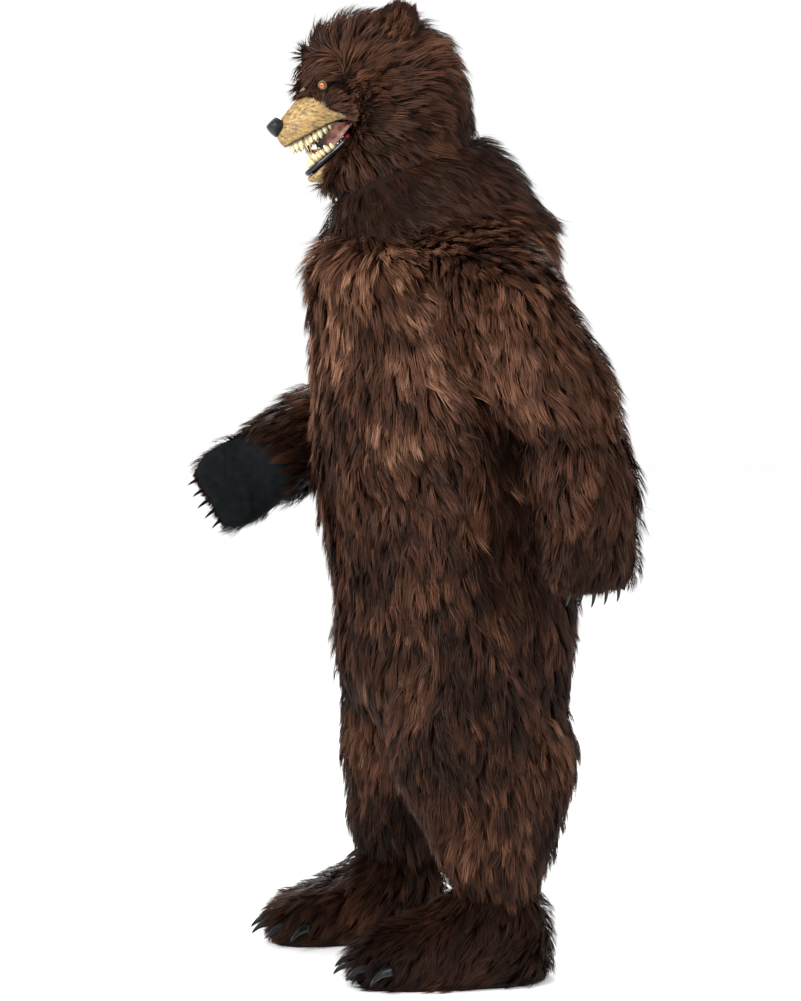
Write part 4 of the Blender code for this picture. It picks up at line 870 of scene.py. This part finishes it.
def tooth_places(name):
    """A row's direction, and each tooth's root, length, radius and tip share, from its tip and sides."""
    triangles = TRIANGLES[OWNERS == name]
    a, b, c = (POINTS[triangles[:, i]] for i in range(3))
    facing = unit(np.cross(b - a, c - a))
    kinds, counts = np.unique(np.round(facing, 3), axis=0, return_counts=True)
    way = -1.0 if name == "teeth_upper" else 1.0
    counts = counts * (kinds[:, 2] * way > 0.3)
    direction = unit(kinds[np.argmax(counts)])
    caps = facing @ direction > 0.9995
    groups = []
    for corners in triangles[caps]:
        joined = set(corners)
        for group in [g for g in groups if g & joined]:
            groups.remove(group)
            joined |= group
        groups.append(joined)
    teeth = []
    for group in groups:
        if len(group) != TIP_CORNERS:
            continue
        tip = POINTS[list(group)]
        centre = tip.mean(axis=0)
        sides = [t for t in triangles[~caps] if group & set(t)]
        roots = POINTS[sorted({i for t in sides for i in t} - group)]
        drop = (centre - roots) @ direction
        length = float(np.median(drop))
        off = roots - centre + drop[:, None] * direction
        radius = float(np.median(np.linalg.norm(off, axis=1)))
        tip_radius = float(np.linalg.norm(tip - centre, axis=1).mean())
        teeth.append((centre - direction * length, length * TOOTH_FULLNESS, radius, tip_radius / radius))
    return direction, teeth


def tooth_rings(length, radius, share, sides=12, rows=9):
    """Offsets and places along one tooth: a leaf-shaped crown, or a bent point for an eye tooth."""
    rings = []
    for row in range(rows):
        t = row / (rows - 1)
        if share < EYE_TOOTH_SHARE:
            size = 1.12 * (1 - t) ** 0.62 * (1 + 0.10 * math.sin(math.pi * t))
        else:
            size = (1.0 + 0.22 * math.sin(math.pi * min(t * 1.25, 1.0))) * math.sqrt(max(0.0, 1 - t ** 3.4))
        rings.append((t * (length + TOOTH_IN_GUM) - TOOTH_IN_GUM, radius * max(size, 0.03)))
    turns = np.arange(sides) * 2 * math.pi / sides
    return rings, turns


def teeth_row(name):
    """Rounded crowns for one row of teeth."""
    direction, teeth = tooth_places(name)
    arch = np.mean([root for root, _, _, _ in teeth], axis=0)
    points, faces, roots = [], [], []
    for root, length, radius, share in teeth:
        out = root - arch
        out = unit(out - (out @ direction) * direction)
        along = np.cross(direction, out)
        rings, turns = tooth_rings(length, radius, share)
        start = len(points)
        bend = -0.10 * length if share < EYE_TOOTH_SHARE else 0.0
        for reach, size in rings:
            t = max(reach, 0.0) / length
            centre = root + direction * reach + out * (bend * t * t)
            for turn in turns:
                side = along * size * 1.04 * math.cos(turn)
                points.append(centre + side + out * size * 0.82 * math.sin(turn))
                roots.append(1 - float(smooth(reach / length, 0.0, 0.30)))
        sides, rows = len(turns), len(rings)
        for i in range(rows - 1):
            for j in range(sides):
                k = (j + 1) % sides
                faces.append((start + i * sides + j, start + i * sides + k,
                              start + (i + 1) * sides + k, start + (i + 1) * sides + j))
        faces.append(tuple(start + j for j in range(sides))[::-1])
        faces.append(tuple(start + (rows - 1) * sides + j for j in range(sides)))
    mesh = bpy.data.meshes.new(f"{name}_crowns")
    mesh.from_pydata([tuple(p) for p in points], [], faces)
    mesh.shade_smooth()
    mesh.materials.append(MATERIALS["tooth"])
    set_attribute(mesh, "root", roots)
    crowns = bpy.data.objects.new(mesh.name, mesh)
    bpy.context.scene.collection.objects.link(crowns)
    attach(crowns, "root")
    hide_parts(name)


def gum_plate(name):
    """The gum that the teeth stand in: the row's CAD form without its teeth."""
    direction, teeth = tooth_places(name)
    triangles = TRIANGLES[OWNERS == name]
    middle = POINTS[triangles].mean(axis=1)
    on_tooth = np.zeros(len(triangles), dtype=bool)
    for root, length, radius, _ in teeth:
        reach = (POINTS[triangles] - root) @ direction
        off = POINTS[triangles] - root - reach[:, :, None] * direction
        near = (np.linalg.norm(off, axis=2) < radius * 1.02).all(axis=1)
        on_tooth |= near & (reach > -0.003).all(axis=1) & (reach.max(axis=1) > length * 0.5)
    bm = bmesh.new()
    used, index = np.unique(triangles[~on_tooth], return_inverse=True)
    corners = [bm.verts.new(p) for p in POINTS[used]]
    for triangle in index.reshape(-1, 3):
        if len(set(triangle)) == 3:
            bm.faces.new([corners[i] for i in triangle])
    bmesh.ops.holes_fill(bm, edges=[e for e in bm.edges if e.is_boundary])
    bmesh.ops.recalc_face_normals(bm, faces=bm.faces)
    mesh = bpy.data.meshes.new(f"{name}_gum")
    bm.to_mesh(mesh)
    bm.free()
    mesh.shade_smooth()
    mesh.materials.append(MATERIALS["gum"])
    gum = bpy.data.objects.new(mesh.name, mesh)
    bpy.context.scene.collection.objects.link(gum)
    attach(gum, "root")
    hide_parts(name)


def cheek(side):
    """The mask's inner cheek: pinkish latex between the back teeth of a side, out to the mouth's corner."""
    sign = 1.0 if side == "left" else -1.0
    x, y, height = CHEEK_CORNER
    corner = place_from_head(sign * x, y, height)
    edges = []
    for row, count in CHEEK_TEETH.items():
        _, teeth = tooth_places(row)
        roots = np.array([root for root, _, _, _ in teeth])
        across = head_places(roots)[:, 0] * sign
        roots = roots[across > 0.004]
        backward = np.argsort(head_places(roots)[:, 1])
        line = roots[backward][-count:]
        middle = np.array([root for root, _, _, _ in teeth]).mean(axis=0)
        inward = unit(middle - line)
        edges.append(np.concatenate([line + inward * CHEEK_INSET, corner[None]]))
    rows, columns = 6, 9
    along = np.linspace(0.0, 1.0, columns)
    top, low = (np.stack([np.interp(along * (len(edge) - 1), np.arange(len(edge)), edge[:, axis])
                          for axis in range(3)], axis=1) for edge in edges)
    inward = unit(from_head(-sign, 0.0, 0.0))
    grid = []
    for i in range(rows):
        t = i / (rows - 1)
        grid.append(top * (1 - t) + low * t + inward * CHEEK_BULGE * math.sin(math.pi * t))
    points = np.concatenate(grid)
    faces = [(i * columns + j, i * columns + j + 1, (i + 1) * columns + j + 1, (i + 1) * columns + j)
             for i in range(rows - 1) for j in range(columns - 1)]
    mesh = bpy.data.meshes.new(f"cheek_{side}")
    mesh.from_pydata([tuple(p) for p in points], [], faces)
    mesh.shade_smooth()
    mesh.materials.append(MATERIALS["cheek"])
    # Painted shade, strongest deep in the mouth and gone at the mouth's corner.
    set_attribute(mesh, "deep", np.tile(1 - smooth(along, 0.30, 0.85), rows))
    made = bpy.data.objects.new(mesh.name, mesh)
    bpy.context.scene.collection.objects.link(made)
    wall = made.modifiers.new("thickness", "SOLIDIFY")
    wall.thickness = 0.0015
    rounder = made.modifiers.new("rounder", "SUBSURF")
    rounder.levels = 2
    rounder.render_levels = 2
    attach(made, "root")
    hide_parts("muzzle_lower")


def eye(name):
    """An eye with rings of colour round its outward axis."""
    piece, places, _ = refined(name, 2, MATERIALS["eye"])
    middle = places.mean(axis=0)
    side = 1.0 if name.endswith("left") else -1.0
    out = unit(from_head(side, -EYE_FORWARD, EYE_UP))
    angle = np.arccos(np.clip(unit(places - middle) @ out, -1.0, 1.0))
    set_attribute(piece.data, "around", np.clip(angle / math.radians(100), 0.0, 1.0))


def finish(name, material):
    """Gives a CAD node that is shown as it is its material."""
    node = NODES[name]
    node.data.materials.clear()
    node.data.materials.append(material)


for name in NODES:
    if "claw" in name:
        refined(name, 1, MATERIALS["claw"])
    elif name.startswith("sole"):
        finish(name, MATERIALS["sole"])
    elif name.startswith("palm"):
        palm(name)
    elif name.startswith("eye"):
        eye(name)
finish("back_zip", MATERIALS["zip"])
refined("nose", 2, MATERIALS["nose"])
refined("lower_lip", 1, MATERIALS["lip"])
for name in ("muzzle_upper", "muzzle_lower"):
    latex(name)
for name in ("teeth_upper", "teeth_lower"):
    teeth_row(name)
    gum_plate(name)
for side in ("left", "right"):
    cheek(side)


# Stage


def place_camera():
    data = bpy.data.cameras.new("camera")
    data.sensor_fit = "HORIZONTAL"
    data.sensor_width = SENSOR_MM
    data.lens = SENSOR_MM * FOCAL_PIXELS / PICTURE_WIDTH
    made = bpy.data.objects.new("camera", data)
    turn = math.radians(CAMERA_AZIMUTH_DEG)
    across, ahead = CAMERA_DISTANCE * math.sin(turn), -CAMERA_DISTANCE * math.cos(turn)
    made.location = (across, ahead, CAMERA_HEIGHT + FLOOR)
    made.rotation_euler = (math.radians(90 - CAMERA_TILT_DEG), 0, turn + math.radians(CAMERA_YAW_DEG))
    bpy.context.scene.collection.objects.link(made)
    bpy.context.scene.camera = made


def add_area_light(name, azimuth, height, distance, size, power):
    data = bpy.data.lights.new(name, "AREA")
    data.size = size
    data.energy = power
    made = bpy.data.objects.new(name, data)
    turn = math.radians(azimuth)
    made.location = (distance * math.sin(turn), -distance * math.cos(turn), FLOOR + height)
    aim = Vector((0, 0, FLOOR + 0.95)) - made.location
    made.rotation_euler = aim.to_track_quat("-Z", "Y").to_euler()
    bpy.context.scene.collection.objects.link(made)


def light_stage():
    world = bpy.data.worlds.new("studio")
    world.use_nodes = True
    back = world.node_tree.nodes["Background"]
    back.inputs["Color"].default_value = (1.0, 1.0, 1.0, 1.0)
    back.inputs["Strength"].default_value = 1.0
    bpy.context.scene.world = world
    bpy.context.scene.view_settings.view_transform = "Standard"
    add_area_light("key", 30, 2.9, 3.6, 1.6, 180)
    add_area_light("fill", 130, 2.0, 4.0, 2.2, 80)
    add_area_light("back", 250, 2.8, 3.6, 1.6, 120)


def lay_floor():
    bpy.ops.mesh.primitive_plane_add(size=40, location=(0, 0, FLOOR - 0.0005))
    floor = bpy.context.object
    floor.name = "floor"
    made, tree, shader = new_material("pale_floor", 0.8, 0.2)
    shade = ramp(tree, noise_of(tree, 3.0, 2.0), [(0.0, (0.98, 0.98, 0.98)), (1.0, (1.0, 1.0, 1.0))])
    tree.links.new(shade, shader.inputs["Base Color"])
    floor.data.materials.append(made)


place_camera()
light_stage()
lay_floor()
